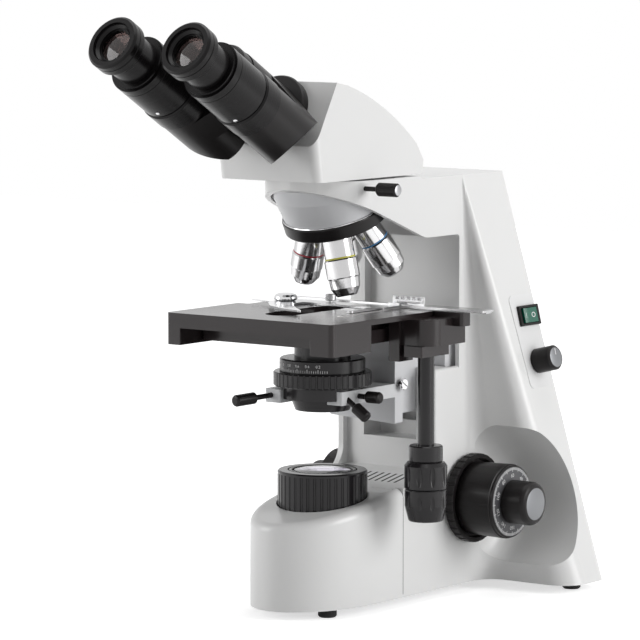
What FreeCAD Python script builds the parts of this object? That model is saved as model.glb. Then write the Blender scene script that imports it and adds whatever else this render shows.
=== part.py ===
import FreeCAD, Part
import math
import os

# A binocular compound microscope with a one-piece stand, a swivelling head on
# a dovetail, a four-place nosepiece that faces the column, a mechanical stage
# with a drop-down control, a focusing condenser and an illuminator in the foot.
#
# Millimetres, +Z up. The optical axis is X = 0, Y = 0 while the pieces are
# made, the operator sits at -Y and the column stands at +Y. Z = 0 is the table.
# All pieces are moved along Y at the end, so that the origin is under the
# middle of the whole instrument.

V = FreeCAD.Vector
Rot = FreeCAD.Rotation

# General clearances and walls
RUN_GAP = 0.3            # between faces that move past each other
SHAFT_GAP = 0.05         # radial, between a shaft and its bore
BODY_WALL = 5.0
COVER_WALL = 3.0

# Stand: column, arm and flared rear housing
FOOT_HEIGHT = 6.5
FOOT_RADIUS = 7.0
FOOT_FRONT_X = 27.0
FOOT_FRONT_Y = -30.0
FOOT_REAR_X = 103.0
FOOT_REAR_Y = 181.0
ARM_HALF = 46.0
ARM_TOP = 319.0
ARM_NOSE_Y = 6.0
PAD_TOP = 321.0
PAD_BACK = 58.0
ARM_ROOF = 7.0
ARM_CHEEK = 4.0
ARM_UNDER_AXIS = 299.2
ARM_UNDER_SLOPE = 0.37
THROAT_TOP = 274.3
THROAT_BEND = 24.0
COLUMN_FRONT = 111.0
COLUMN_EDGE = 3.0
GUIDE_HALF = 42.5
GUIDE_DEPTH = 8.0
GUIDE_BOTTOM = 130.0
LEDGE_TOP = 174.0
LEDGE_FRONT = 80.0
LEDGE_FLOOR = 85.6
LEDGE_BACK = 101.5
CHEEK = 6.0
CHEEK_SWEEP = 18.0
REAR_FRONT_TOP = 113.4
REAR_BACK_TOP = 169.0
REAR_FRONT_LEAN = 0.1155
REAR_BACK_LEAN = 0.105
REAR_SIDE_LEAN = 0.246
REAR_CORNER_TOP = 2.0
REAR_FRONT_CORNER = 22.0
REAR_BACK_CORNER = 12.0
COVE_TOP = 2.0
COVE_BOTTOM = 18.0
HAND_RADIUS = 56.6
HAND_COVE = 18.0
HAND_FLOOR_X = 47.3

# Foot of the stand under the illuminator
NOSE_HALF = 46.0
NOSE_LENGTH = 74.0
NOSE_Y = 7.0
DECK_AXIS = 82.0
DECK_SLOPE = 0.17
DECK_EDGE = 7.0
SEAM_Y = 39.0
PLATE_THICK = 2.0

# Illuminator
WELL_RADIUS = 34.5
WELL_FLOOR = 60.0
FIELD_RING_RADIUS = 33.5
FIELD_RING_TOP = 104.0
FIELD_RING_BORE = 26.0
FIELD_FLUTES = 40
COLLAR_RADIUS = 25.5
COLLAR_BORE = 21.5
COLLAR_TOP = 103.0
FIELD_LENS_RADIUS = 21.0
LAMP_Z = 38.0
LAMP_Y = 88.0

# Head and eyepiece tubes
HEAD_HALF = 46.0
HEAD_BOTTOM = 322.5
HEAD_WALL = 4.0
FACE_Y = -57.0
FACE_Z = 371.0
TUBE_RISE = 30.0
DOVETAIL_RADIUS = 38.0
DOVETAIL_FOOT = 34.0
HUB_RADIUS = 28.0
HUB_THICK = 7.0
HUB_PIN = 7.0
HUB_PIN_TOP = 60.5
HUB_CAP_RADIUS = 18.4
HUB_CAP_TOP = 73.5
LOBE_RADIUS = 19.0
LOBE_HEIGHT = 26.0
TUBE_ARM = 42.0
RIGHT_DROP = 26.8
LEFT_DROP = 24.1
TUBE_RADIUS = 22.35
HOUSING_LENGTH = 55.3
STEP_RADIUS = 23.0
STEP_LENGTH = 17.0
COLLAR_TUBE_RADIUS = 22.2
COLLAR_LENGTH = 41.0
BARREL_RADIUS = 17.0
BARREL_LENGTH = 19.0
RIM_RADIUS = 20.6
RIM_LENGTH = 12.0
EYE_BORE = 15.0
EYE_LENS_RADIUS = 12.0
EYE_TUBE_BORE = 11.6

# Head lock screw
LOCK_Y = -6.5
LOCK_Z = 315.2
LOCK_SHAFT_RADIUS = 1.8
LOCK_KNOB_RADIUS = 5.0
LOCK_KNOB_LENGTH = 18.1
LOCK_REACH = 27.4

# Nosepiece and objectives
NOSE_TILT = 20.0
TURRET_Y = 17.0
TURRET_Z = 286.9
TURRET_RADIUS = 39.3
TURRET_HEIGHT = 10.5
TURRET_TURN = 33.0
SEAT_DEPTH = 5.0
SEAT_SINK = 5.0
MOUNT_TOP_RADIUS = 41.2
MOUNT_LOW_RADIUS = 37.6
OBJECTIVE_COUNT = 4
THREAD_RADIUS = 10.1

# Stage
STAGE_TOP = 224.0
STAGE_HALF = 76.0
STAGE_FRONT = -90.0
STAGE_BACK = 50.0
STAGE_STEP_X = 66.0
STAGE_STEP_Y = -4.0
STAGE_PLATE = 4.0
APRON_DEPTH = 11.0
LEG_DEPTH = 23.5
LEG_LENGTH = 48.0
LEG_LEFT_INNER = -63.0
LEG_RIGHT_INNER = 56.0
STAGE_CHAMFER = 3.5
STAGE_DROP = 20.0
SLOT_HALF = 13.0
SLOT_BACK = 19.0
SLOT_FRONT = -61.0
LOWER_SIDE_GAP = 0.6
LOWER_FRONT = -66.0
LOWER_BACK = 58.0
LOWER_TOP = 212.5
LOWER_THICK = 10.0
RAIL_INNER = 42.0
RAIL_WIDE = 9.0
RAIL_FRONT = -34.0
CARRIAGE_HALF = 30.4
CARRIAGE_FRONT = 49.7
CARRIAGE_THICK = 10.0
CARRIAGE_BOTTOM = 135.0
SLIDE_HALF = 24.0
NECK_BACK = 107.0
RAIL_RADIUS = 4.0
RAIL_X = 32.0
RAIL_Y = 112.6
RAIL_TOP = 216.0

# Drop-down stage control
ROD_X = 80.0
ROD_Y = 20.0
ROD_RADIUS = 4.4
SLEEVE_RADIUS = 6.1
CONTROL_TOP = 126.5
CONTROL_SPLIT = 94.0
CONTROL_BOTTOM = 70.4
CONTROL_COLLAR = 12.5
CONTROL_RADIUS = 15.9
DRIVE_RADIUS = 13.6
DRIVE_BACK = 52.0
DRIVE_BOTTOM = 200.5
DRIVE_PLATE = 8.0

# Specimen holder
BAR_Y = 41.0
BAR_WIDTH = 7.0
BAR_LEFT = -70.0
BAR_RIGHT = 121.0
FINGER_X = -38.0
FINGER_Y = 5.0
HOLDER_THICK = 1.6

# Condenser
CONDENSER_RING_RADIUS = 36.5
CONDENSER_RING_LOW = 167.3
CONDENSER_RING_HIGH = 178.0
DIAL_RADIUS = 31.9
DIAL_TOP = 188.0
BARREL_TOP = 197.0
CONDENSER_BARREL = 21.0
CONDENSER_NECK = 11.5
CONDENSER_TIP = 218.8
FORK_LOW = 155.2
FORK_HIGH = 165.3
FORK_BORE = 19.2
FORK_ARM = 11.2
FORK_RIGHT_FRONT = -17.0
FORK_LEFT_FRONT = -30.0
CONDENSER_FLUTES = 48
SCREW_SHAFT_RADIUS = 2.0
SCREW_KNOB_RADIUS = 4.4
SCREW_DEPTH = 5.0
LIFT_Z = 178.0
LIFT_RADIUS = 10.5
LIFT_LENGTH = 14.0
LIFT_SHAFT_RADIUS = 3.0

# Focus controls
FOCUS_Y = 123.4
FOCUS_Z = 72.5
TENSION_RADIUS = 33.9
TENSION_IN = 47.8
TENSION_THICK = 7.6
COARSE_RADIUS = 28.3
COARSE_OUT = 86.8
LEFT_SHIFT = 9.0
FINE_RADIUS = 16.6
FINE_LENGTH = 21.0
COARSE_FLUTES = 20
COARSE_SHAFT_RADIUS = 6.0
FINE_SHAFT_RADIUS = 3.0

# Control panel on the right side
PANEL_TOP = 226.0
PANEL_BOTTOM = 155.5
PANEL_PROUD = 0.6
SWITCH_Z = 209.8
SWITCH_Y = 163.0
BEZEL_LONG = 26.0
BEZEL_SHORT = 15.6
ROCKER_LONG = 20.0
ROCKER_SHORT = 11.6
DIMMER_Y = 164.0
DIMMER_Z = 175.3
DIMMER_RADIUS = 9.5
DIMMER_LENGTH = 17.0

# Mains inlet on the rear
INLET_Z = 60.0


def loop(points, radii=None):
    """A closed outline in the XY plane; each corner may have its own radius."""
    count = len(points)
    radii = radii or [0] * count
    starts, ends, arcs = [], [], []
    for i in range(count):
        here = V(*points[i], 0)
        back = V(*points[i - 1], 0) - here
        ahead = V(*points[(i + 1) % count], 0) - here
        back.normalize()
        ahead.normalize()
        if radii[i] <= 0:
            starts.append(here)
            ends.append(here)
            arcs.append(None)
            continue
        half = math.acos(max(-1, min(1, back.dot(ahead)))) / 2
        reach = radii[i] / math.tan(half)
        middle = back + ahead
        middle.normalize()
        centre = here + middle * (radii[i] / math.sin(half))
        starts.append(here + back * reach)
        ends.append(here + ahead * reach)
        arcs.append(centre - middle * radii[i])
    edges = []
    for i in range(count):
        if arcs[i] is not None:
            edges.append(Part.Arc(starts[i], arcs[i], ends[i]).toShape())
        after = starts[(i + 1) % count]
        if ends[i].distanceToPoint(after) > 1e-6:
            edges.append(Part.LineSegment(ends[i], after).toShape())
    return Part.Wire(edges)


def put(shape, x_to, y_to, at=V(0, 0, 0)):
    """Turn a shape so that its X and Y axes point along x_to and y_to."""
    spin = Rot(x_to, y_to, x_to.cross(y_to), "ZXY")
    moved = shape.copy()
    moved.Placement = FreeCAD.Placement(at, spin).multiply(moved.Placement)
    return moved


def slab_xy(points, z_low, z_high, radii=None):
    face = Part.Face(loop(points, radii))
    solid = face.extrude(V(0, 0, z_high - z_low))
    solid.translate(V(0, 0, z_low))
    return solid


def slab_yz(points, x_low, x_high, radii=None):
    """Outline given as (Y, Z) points, drawn out along X."""
    face = Part.Face(loop(points, radii))
    solid = face.extrude(V(0, 0, x_high - x_low))
    return put(solid, V(0, 1, 0), V(0, 0, 1), V(x_low, 0, 0))


def slab_xz(points, y_low, y_high, radii=None):
    """Outline given as (X, Z) points, drawn out along Y."""
    face = Part.Face(loop(points, radii))
    solid = face.extrude(V(0, 0, y_high - y_low))
    return put(solid, V(1, 0, 0), V(0, 0, 1), V(0, y_high, 0))


def box(x_low, x_high, y_low, y_high, z_low, z_high):
    return Part.makeBox(x_high - x_low, y_high - y_low, z_high - z_low, V(x_low, y_low, z_low))


def rod(radius, base, tip):
    along = tip - base
    return Part.makeCylinder(radius, along.Length, base, along)


def lathe(points):
    """Turn an outline of (radius, height) points about Z."""
    outline = [V(r, 0, z) for r, z in points]
    wire = Part.makePolygon(outline + [outline[0]])
    return Part.Face(wire).revolve(V(0, 0, 0), V(0, 0, 1), 360)


def around(shape, count, start=0.0):
    """Copies of a shape evenly spaced about Z."""
    copies = []
    for i in range(count):
        turned = shape.copy()
        turned.rotate(V(0, 0, 0), V(0, 0, 1), start + 360.0 * i / count)
        copies.append(turned)
    return Part.makeCompound(copies)


def mirror_x(shape):
    return shape.mirror(V(0, 0, 0), V(1, 0, 0))


def group(*solids):
    return Part.makeCompound(list(solids))


def ring(outer, inner, z_low, z_high):
    return lathe([(inner, z_low), (outer, z_low), (outer, z_high), (inner, z_high)])


# Heights and places that follow from the values above

BODY_BOTTOM = FOOT_HEIGHT
FLOOR_TOP = BODY_BOTTOM + PLATE_THICK
TAN_TILT = math.tan(math.radians(NOSE_TILT))


def rear_half(z):
    return ARM_HALF + REAR_SIDE_LEAN * (ARM_TOP - z)


def rear_front(z):
    return REAR_FRONT_TOP + REAR_FRONT_LEAN * (ARM_TOP - z)


def rear_back(z):
    return REAR_BACK_TOP + REAR_BACK_LEAN * (ARM_TOP - z)


def deck_z(y):
    return DECK_AXIS + DECK_SLOPE * y


def rear_outline(z, corner_front, corner_back):
    half = rear_half(z)
    points = [(-half, rear_front(z)), (half, rear_front(z)), (half, rear_back(z)), (-half, rear_back(z))]
    wire = loop(points, [corner_front, corner_front, corner_back, corner_back])
    wire.translate(V(0, 0, z))
    return wire


def rear_housing():
    """The rear housing, flared toward the foot, with corners that grow rounder on the way down."""
    upper = rear_outline(ARM_TOP, REAR_CORNER_TOP, REAR_CORNER_TOP)
    lower = rear_outline(BODY_BOTTOM, REAR_FRONT_CORNER, REAR_BACK_CORNER)
    return Part.makeLoft([lower, upper], True, True)


def cove(side):
    """Concave fill between the column side and the front of the rear housing."""
    wires = []
    for z, radius in ((BODY_BOTTOM, COVE_BOTTOM), (ARM_TOP - 8, COVE_TOP)):
        y = rear_front(z)
        x = ARM_HALF
        corner = V(x - 1, y + 1, z)
        near = V(x - 1, y - radius, z)
        start = V(x, y - radius, z)
        end = V(x + radius, y, z)
        far = V(x + radius, y + 1, z)
        bend = radius * (1 - math.sqrt(0.5))
        mid = V(x + bend, y - bend, z)
        edges = [Part.LineSegment(corner, near).toShape(), Part.LineSegment(near, start).toShape()]
        edges.append(Part.Arc(start, mid, end).toShape())
        edges.append(Part.LineSegment(end, far).toShape())
        edges.append(Part.LineSegment(far, corner).toShape())
        wires.append(Part.Wire(edges))
    fill = Part.makeLoft(wires, True, True)
    return fill if side > 0 else mirror_x(fill)


def hand_recess(side):
    """Round hollow in the flared side that leaves room for a hand on the knob."""
    outer = HAND_RADIUS
    floor = HAND_FLOOR_X
    reach = rear_half(0) + 20
    bend = HAND_COVE * (1 - math.sqrt(0.5))
    points = [V(0, 0, floor), V(outer - HAND_COVE, 0, floor)]
    points.append(V(outer - bend, 0, floor + bend))
    points.append(V(outer, 0, floor + HAND_COVE))
    edges = [Part.LineSegment(points[0], points[1]).toShape()]
    edges.append(Part.Arc(points[1], points[2], points[3]).toShape())
    edges.append(Part.LineSegment(points[3], V(outer, 0, reach)).toShape())
    edges.append(Part.LineSegment(V(outer, 0, reach), V(0, 0, reach)).toShape())
    edges.append(Part.LineSegment(V(0, 0, reach), points[0]).toShape())
    solid = Part.Face(Part.Wire(edges)).revolve(V(0, 0, 0), V(0, 0, 1), 360)
    solid = put(solid, V(0, 1, 0), V(0, 0, 1), V(0, FOCUS_Y, FOCUS_Z))
    return solid if side > 0 else mirror_x(solid)


def arm_block():
    """Column and arm as one side profile with a round nose and a raised pad for the head."""
    nose = ARM_NOSE_Y - ARM_HALF
    under_front = ARM_UNDER_AXIS - ARM_UNDER_SLOPE * nose
    bend_y = (ARM_UNDER_AXIS - THROAT_TOP) / ARM_UNDER_SLOPE
    back = rear_front(ARM_TOP) + 20
    points = [(nose, PAD_TOP), (nose, under_front), (bend_y, THROAT_TOP), (COLUMN_FRONT, THROAT_TOP)]
    points += [(COLUMN_FRONT, BODY_BOTTOM), (back, BODY_BOTTOM), (back, ARM_TOP)]
    points += [(PAD_BACK + 5, ARM_TOP), (PAD_BACK, PAD_TOP)]
    side = slab_yz(points, -ARM_HALF, ARM_HALF, [0, 0, THROAT_BEND, COLUMN_EDGE, 0, 0, 0, 0, 0])
    return side.common(nose_plan(ARM_HALF, BODY_BOTTOM, PAD_TOP, back))


def nose_plan(half, z_low, z_high, back):
    """Plan of the arm: straight sides and a half-round front."""
    left = V(-half, ARM_NOSE_Y, 0)
    right = V(half, ARM_NOSE_Y, 0)
    tip = V(0, ARM_NOSE_Y - half, 0)
    edges = [Part.Arc(left, tip, right).toShape()]
    corners = [right, V(half, back, 0), V(-half, back, 0), left]
    for a, b in zip(corners, corners[1:]):
        edges.append(Part.LineSegment(a, b).toShape())
    solid = Part.Face(Part.Wire(edges)).extrude(V(0, 0, z_high - z_low))
    solid.translate(V(0, 0, z_low))
    return solid


def deck_cut(y_low, y_high, lift=0.0):
    """Everything above the sloping top of the foot."""
    points = [(y_low, deck_z(y_low) + lift), (y_high, deck_z(y_high) + lift), (y_high, 400), (y_low, 400)]
    return slab_yz(points, -150, 150)


def foot_rear():
    """Part of the foot between the front cover and the column."""
    block = box(-ARM_HALF, ARM_HALF, SEAM_Y, COLUMN_FRONT + 1, BODY_BOTTOM, 140)
    return block.cut(deck_cut(SEAM_Y - 1, COLUMN_FRONT + 2))


def column_ledge():
    """Lower front of the column: two cheeks that sweep out to the foot, a sunk panel between."""
    low = deck_z(LEDGE_FRONT) - 20
    back = COLUMN_FRONT + 1
    toe = LEDGE_FRONT - 16
    cheek_side = [(back, low), (toe, low), (toe, deck_z(toe)), (LEDGE_FRONT, deck_z(LEDGE_FRONT)),
                  (LEDGE_FRONT, LEDGE_TOP), (back, LEDGE_TOP)]
    cheeks = slab_yz(cheek_side, -ARM_HALF, ARM_HALF, [0, 0, 0, CHEEK_SWEEP, 4, 0])
    panel = ARM_HALF - CHEEK
    sunk = slab_yz([(toe - 1, deck_z(toe - 1)), (LEDGE_FLOOR, deck_z(LEDGE_FLOOR)), (LEDGE_FLOOR, LEDGE_TOP + 1),
                    (toe - 1, LEDGE_TOP + 1)], -panel, panel)
    block = cheeks.cut(sunk)
    edges = []
    for edge in block.Edges:
        middle = edge.valueAt((edge.FirstParameter + edge.LastParameter) / 2)
        upright = edge.BoundBox.ZLength > 30 and abs(middle.y - LEDGE_FRONT) < 0.1
        if upright and abs(abs(middle.x) - ARM_HALF) < 0.1:
            edges.append(edge)
    return block.makeFillet(COLUMN_EDGE - 0.5, edges)


def neck_slot():
    """Slot in the ledge that the neck of the stage carriage comes down in."""
    half = SLIDE_HALF + 0.6
    low = CARRIAGE_BOTTOM + 6 - STAGE_DROP - 2
    return box(-half, half, LEDGE_FRONT - 20, NECK_BACK + 0.6, low, LEDGE_TOP + 1)


def body_casting():
    """White one-piece stand: arm, column, rear housing and rear of the foot."""
    body = arm_block().fuse([rear_housing(), foot_rear(), column_ledge(), cove(1), cove(-1)])
    body = body.cut([hand_recess(1), hand_recess(-1)])
    body = body.cut(foot_hollow(BODY_WALL))
    body = body.cut([guide_channel(), turret_pocket(), focus_bores(), lock_bore(), well_cut(WELL_RADIUS)])
    body = body.cut([dovetail_bore(), panel_holes(), inlet_hole(), neck_slot()])
    return body


def guide_channel():
    """Channel in the front of the column for the stage guide; it goes down behind the ledge."""
    top = THROAT_TOP
    points = [(-GUIDE_HALF, GUIDE_BOTTOM), (GUIDE_HALF, GUIDE_BOTTOM), (GUIDE_HALF, top), (-GUIDE_HALF, top)]
    return slab_xz(points, LEDGE_BACK, COLUMN_FRONT + GUIDE_DEPTH, [5, 5, 1, 1])


def turret_pocket():
    """Hollow under the arm, open below, that holds the nosepiece."""
    half = ARM_HALF - ARM_CHEEK
    pocket = nose_plan(half, THROAT_TOP - 5, ARM_TOP - ARM_ROOF, 78)
    return pocket


def focus_bores():
    reach = HAND_FLOOR_X + 5
    return rod(COARSE_SHAFT_RADIUS + SHAFT_GAP, V(-reach, FOCUS_Y, FOCUS_Z), V(reach, FOCUS_Y, FOCUS_Z))


def lock_bore():
    return rod(LOCK_SHAFT_RADIUS + SHAFT_GAP, V(0, LOCK_Y, LOCK_Z), V(ARM_HALF + 5, LOCK_Y, LOCK_Z))


def well_cut(radius):
    return rod(radius, V(0, 0, WELL_FLOOR), V(0, 0, 200))


def dovetail_bore():
    """Light hole in the roof of the arm and the round seat of the dovetail ring."""
    seat = rod(DOVETAIL_RADIUS + SHAFT_GAP, V(0, 0, ARM_TOP), V(0, 0, PAD_TOP + 1))
    return rod(20, V(0, 0, ARM_TOP - ARM_ROOF - 1), V(0, 0, ARM_TOP + 1)).fuse(seat)


def side_normal():
    """Outward direction of the flared right side."""
    out = V(1, 0, REAR_SIDE_LEAN)
    return out.normalize()


def side_point(y, z, lift=0.0):
    return V(rear_half(z), y, z) + side_normal() * lift


def on_side(shape, y, z, lift=0.0):
    """Stand a shape, made about +Z, on the flared right side."""
    out = side_normal()
    along = V(0, 1, 0)
    return put(shape, along, out.cross(along), side_point(y, z, lift))


def panel_outline(inset, low, high):
    """Plate shape in side coordinates: X is along Y of the stand, Y is up the side."""
    stretch = math.sqrt(1 + REAR_SIDE_LEAN ** 2)
    middle = (PANEL_TOP + PANEL_BOTTOM) / 2
    half = (PANEL_TOP - PANEL_BOTTOM) / 2 * stretch - inset
    lean = REAR_BACK_LEAN / stretch
    front = 145.5 - SWITCH_Y + inset
    back = 176.5 - SWITCH_Y - inset
    points = [(front + lean * half, -half), (back + lean * half, -half), (back - lean * half, half)]
    points.append((front - lean * half, half))
    plate = slab_xy(points, low, high, [5, 5, 5, 5])
    return on_side(plate, SWITCH_Y, middle)


def panel_holes():
    """Opening behind the control panel for the switch and the dimmer."""
    switch = Part.makeBox(ROCKER_LONG + 2, ROCKER_SHORT + 2, 30,
                          V(-ROCKER_LONG / 2 - 1, -ROCKER_SHORT / 2 - 1, -25))
    stem = Part.makeCylinder(3.5, 30, V(0, 0, -25))
    return on_side(switch, SWITCH_Y, SWITCH_Z).fuse(on_side(stem, DIMMER_Y, DIMMER_Z))


def control_panel():
    plate = panel_outline(0, 0, PANEL_PROUD)
    return plate.cut(panel_holes())


def switch_bezel():
    frame = slab_xy([(-BEZEL_LONG / 2, -BEZEL_SHORT / 2), (BEZEL_LONG / 2, -BEZEL_SHORT / 2),
                     (BEZEL_LONG / 2, BEZEL_SHORT / 2), (-BEZEL_LONG / 2, BEZEL_SHORT / 2)],
                    0, 2.2, [1, 1, 1, 1])
    sleeve = Part.makeBox(ROCKER_LONG + 1.6, ROCKER_SHORT + 1.6, 16,
                          V(-ROCKER_LONG / 2 - 0.8, -ROCKER_SHORT / 2 - 0.8, -15))
    hole = Part.makeBox(ROCKER_LONG + 2 * RUN_GAP, ROCKER_SHORT + 2 * RUN_GAP, 30,
                        V(-ROCKER_LONG / 2 - RUN_GAP, -ROCKER_SHORT / 2 - RUN_GAP, -13))
    return on_side(frame.fuse(sleeve).cut(hole), SWITCH_Y, SWITCH_Z, PANEL_PROUD)


def switch_rocker():
    """Rocker with two faces that meet in a shallow V, on a pin along the short side."""
    half = ROCKER_LONG / 2 - 0.6
    points = [(-half, -3), (half, -3), (half, 2.6), (0, 0.8), (-half, 3.6)]
    face = Part.Face(loop(points))
    body = face.extrude(V(0, 0, ROCKER_SHORT - 0.4))
    body = put(body, V(1, 0, 0), V(0, 0, 1), V(0, (ROCKER_SHORT - 0.4) / 2, 0))
    return on_side(body, SWITCH_Y, SWITCH_Z, PANEL_PROUD)


def dimmer_knob():
    cap = lathe([(0, 0), (DIMMER_RADIUS, 0), (DIMMER_RADIUS, DIMMER_LENGTH - 1.2),
                 (DIMMER_RADIUS - 1.2, DIMMER_LENGTH), (0, DIMMER_LENGTH)])
    stem = Part.makeCylinder(3.5 - RUN_GAP, 12, V(0, 0, -11.5))
    return on_side(cap.fuse(stem), DIMMER_Y, DIMMER_Z, PANEL_PROUD + RUN_GAP)


def on_rear(shape):
    """Stand a shape, made about +Z, on the leaning rear face of the housing."""
    out = V(0, 1, REAR_BACK_LEAN).normalize()
    across = V(-1, 0, 0)
    return put(shape, across, out.cross(across), V(0, rear_back(INLET_Z), INLET_Z))


def inlet_hole():
    return on_rear(Part.makeBox(24, 26, 24, V(-12, -13, -20)))


def power_inlet():
    """Three-pin mains inlet with a fuse drawer under it."""
    flange = slab_xy([(-15, -16), (15, -16), (15, 16), (-15, 16)], 0, 2.2, [2, 2, 2, 2])
    shell = Part.makeBox(23.4, 25.4, 12.5, V(-11.7, -12.7, -12))
    socket = slab_xy([(-9, -4), (9, -4), (9, 5), (6, 9), (-6, 9), (-9, 5)], -10, 4, [1, 1, 1, 1, 1, 1])
    body = flange.fuse(shell).cut(socket)
    for x, lift in ((-4.5, 1), (4.5, 1), (0, 5)):
        body = body.fuse(Part.makeBox(2, 4, 9, V(x - 1, lift - 2, -11)))
    drawer = Part.makeBox(18, 8, 1.2, V(-9, -14, 2.1))
    return on_rear(body.fuse(drawer))


def nose_outline(inset):
    """Front half-oval of the foot with straight sides back to the seam."""
    half = NOSE_HALF - inset
    length = NOSE_LENGTH - inset
    oval = Part.Ellipse(V(0, NOSE_Y - length, 0), V(half, NOSE_Y, 0), V(0, NOSE_Y, 0))
    left = V(-half, NOSE_Y, 0)
    right = V(half, NOSE_Y, 0)
    first = oval.parameter(left)
    last = oval.parameter(right)
    arc = Part.ArcOfEllipse(oval, first, last)
    if arc.value((arc.FirstParameter + arc.LastParameter) / 2).y > NOSE_Y:
        arc = Part.ArcOfEllipse(oval, last, first)
    edges = [arc.toShape()]
    corners = [right, V(half, SEAM_Y, 0), V(-half, SEAM_Y, 0), left]
    for a, b in zip(corners, corners[1:]):
        edges.append(Part.LineSegment(a, b).toShape())
    return Part.Wire(Part.__sortEdges__(edges))


def nose_block(inset, z_low, lift):
    solid = Part.Face(nose_outline(inset)).extrude(V(0, 0, 150 - z_low))
    solid.translate(V(0, 0, z_low))
    return solid.cut(deck_cut(-120, SEAM_Y + 10, lift))


def base_front_cover():
    """White shell over the lamp path, with the well for the field lens and vent slots."""
    outer = nose_block(0, BODY_BOTTOM, 0)
    rim = []
    for edge in outer.Edges:
        box_of = edge.BoundBox
        middle = edge.valueAt((edge.FirstParameter + edge.LastParameter) / 2)
        on_deck = abs(middle.z - deck_z(middle.y)) < 0.5
        if on_deck and box_of.YMax < SEAM_Y + 0.1 and middle.y < SEAM_Y - 1:
            rim.append(edge)
    outer = outer.makeFillet(DECK_EDGE, rim)
    inner = nose_block(COVER_WALL, BODY_BOTTOM - 1, -COVER_WALL)
    inner = inner.fuse(box(-NOSE_HALF + COVER_WALL, NOSE_HALF - COVER_WALL, SEAM_Y - 1, SEAM_Y + 1,
                           BODY_BOTTOM - 1, deck_z(SEAM_Y) - COVER_WALL))
    shell = outer.cut(inner)
    well = ring(WELL_RADIUS + COVER_WALL, WELL_RADIUS, WELL_FLOOR, 120)
    floor = ring(WELL_RADIUS + 1, 15, WELL_FLOOR - COVER_WALL, WELL_FLOOR)
    well = well.fuse(floor).cut(deck_cut(-120, 120, 0))
    keep = box(-NOSE_HALF + 1, NOSE_HALF - 1, -60, SEAM_Y, 0, 200)
    shell = shell.fuse(well.common(keep))
    shell = shell.cut(well_cut(WELL_RADIUS))
    return shell.cut(vent_slots())


def vent_slots():
    """Slanted slots in the deck on both sides, behind the lamp well."""
    slots = []
    for i in range(6):
        slot = slab_xy([(-0.9, -6), (0.9, -6), (0.9, 6), (-0.9, 6)], 70, 110, [0.8, 0.8, 0.8, 0.8])
        slot.rotate(V(0, 0, 0), V(0, 0, 1), -25)
        slot.translate(V(18.5 + 3.6 * i, 30.5, 0))
        slots.append(slot)
        slots.append(mirror_x(slot))
    return Part.makeCompound(slots)


def foot_hollow(lift):
    """Space inside the walls of the foot, from the front cover back to the rear housing."""
    nose = nose_block(COVER_WALL, BODY_BOTTOM - 1, -lift)
    middle = box(-ARM_HALF + BODY_WALL, ARM_HALF - BODY_WALL, SEAM_Y - 1, COLUMN_FRONT + 4,
                 BODY_BOTTOM - 1, 140)
    return nose.fuse(middle.cut(deck_cut(SEAM_Y - 2, COLUMN_FRONT + 10, -lift)))


def base_plate():
    """Sheet-metal floor let in between the walls of the foot, under the illuminator."""
    return foot_hollow(BODY_WALL).common(box(-200, 200, -200, 300, BODY_BOTTOM, FLOOR_TOP))


def rubber_feet():
    feet = []
    for x, y in ((FOOT_FRONT_X, FOOT_FRONT_Y), (FOOT_REAR_X, FOOT_REAR_Y)):
        for side in (-1, 1):
            high = BODY_BOTTOM
            foot = lathe([(0, 0), (FOOT_RADIUS - 1.2, 0), (FOOT_RADIUS, 1.2), (FOOT_RADIUS, high), (0, high)])
            foot.translate(V(side * x, y, 0))
            feet.append(foot)
    return group(*feet)


def field_iris_ring():
    """Fluted ring that opens the field diaphragm."""
    low = WELL_FLOOR + RUN_GAP
    body = lathe([(FIELD_RING_BORE, low), (FIELD_RING_RADIUS, low), (FIELD_RING_RADIUS, FIELD_RING_TOP - 1),
                  (FIELD_RING_RADIUS - 1, FIELD_RING_TOP), (FIELD_RING_BORE, FIELD_RING_TOP)])
    flute = rod(1.1, V(FIELD_RING_RADIUS + 0.3, 0, low - 1), V(FIELD_RING_RADIUS + 0.3, 0, FIELD_RING_TOP - 2.5))
    return body.cut(around(flute, FIELD_FLUTES))


def lamp_collar():
    """Fixed black mount inside the ring, which carries the field lens."""
    seat = COLLAR_TOP - 4
    return lathe([(COLLAR_BORE - 2, WELL_FLOOR), (COLLAR_RADIUS, WELL_FLOOR), (COLLAR_RADIUS, COLLAR_TOP - 1),
                  (COLLAR_RADIUS - 1, COLLAR_TOP), (COLLAR_BORE, COLLAR_TOP - 0.6), (COLLAR_BORE, seat),
                  (COLLAR_BORE - 2, seat)])


def field_lens():
    """Plano-convex glass on the seat of the collar."""
    low = COLLAR_TOP - 4
    crown = 2.6
    radius = (FIELD_LENS_RADIUS ** 2 + crown ** 2) / (2 * crown)
    edge = low + 0.9
    ball = Part.makeSphere(radius, V(0, 0, edge + crown - radius))
    disc = rod(FIELD_LENS_RADIUS, V(0, 0, low), V(0, 0, edge + crown + 0.1))
    return disc.common(ball)


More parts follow.
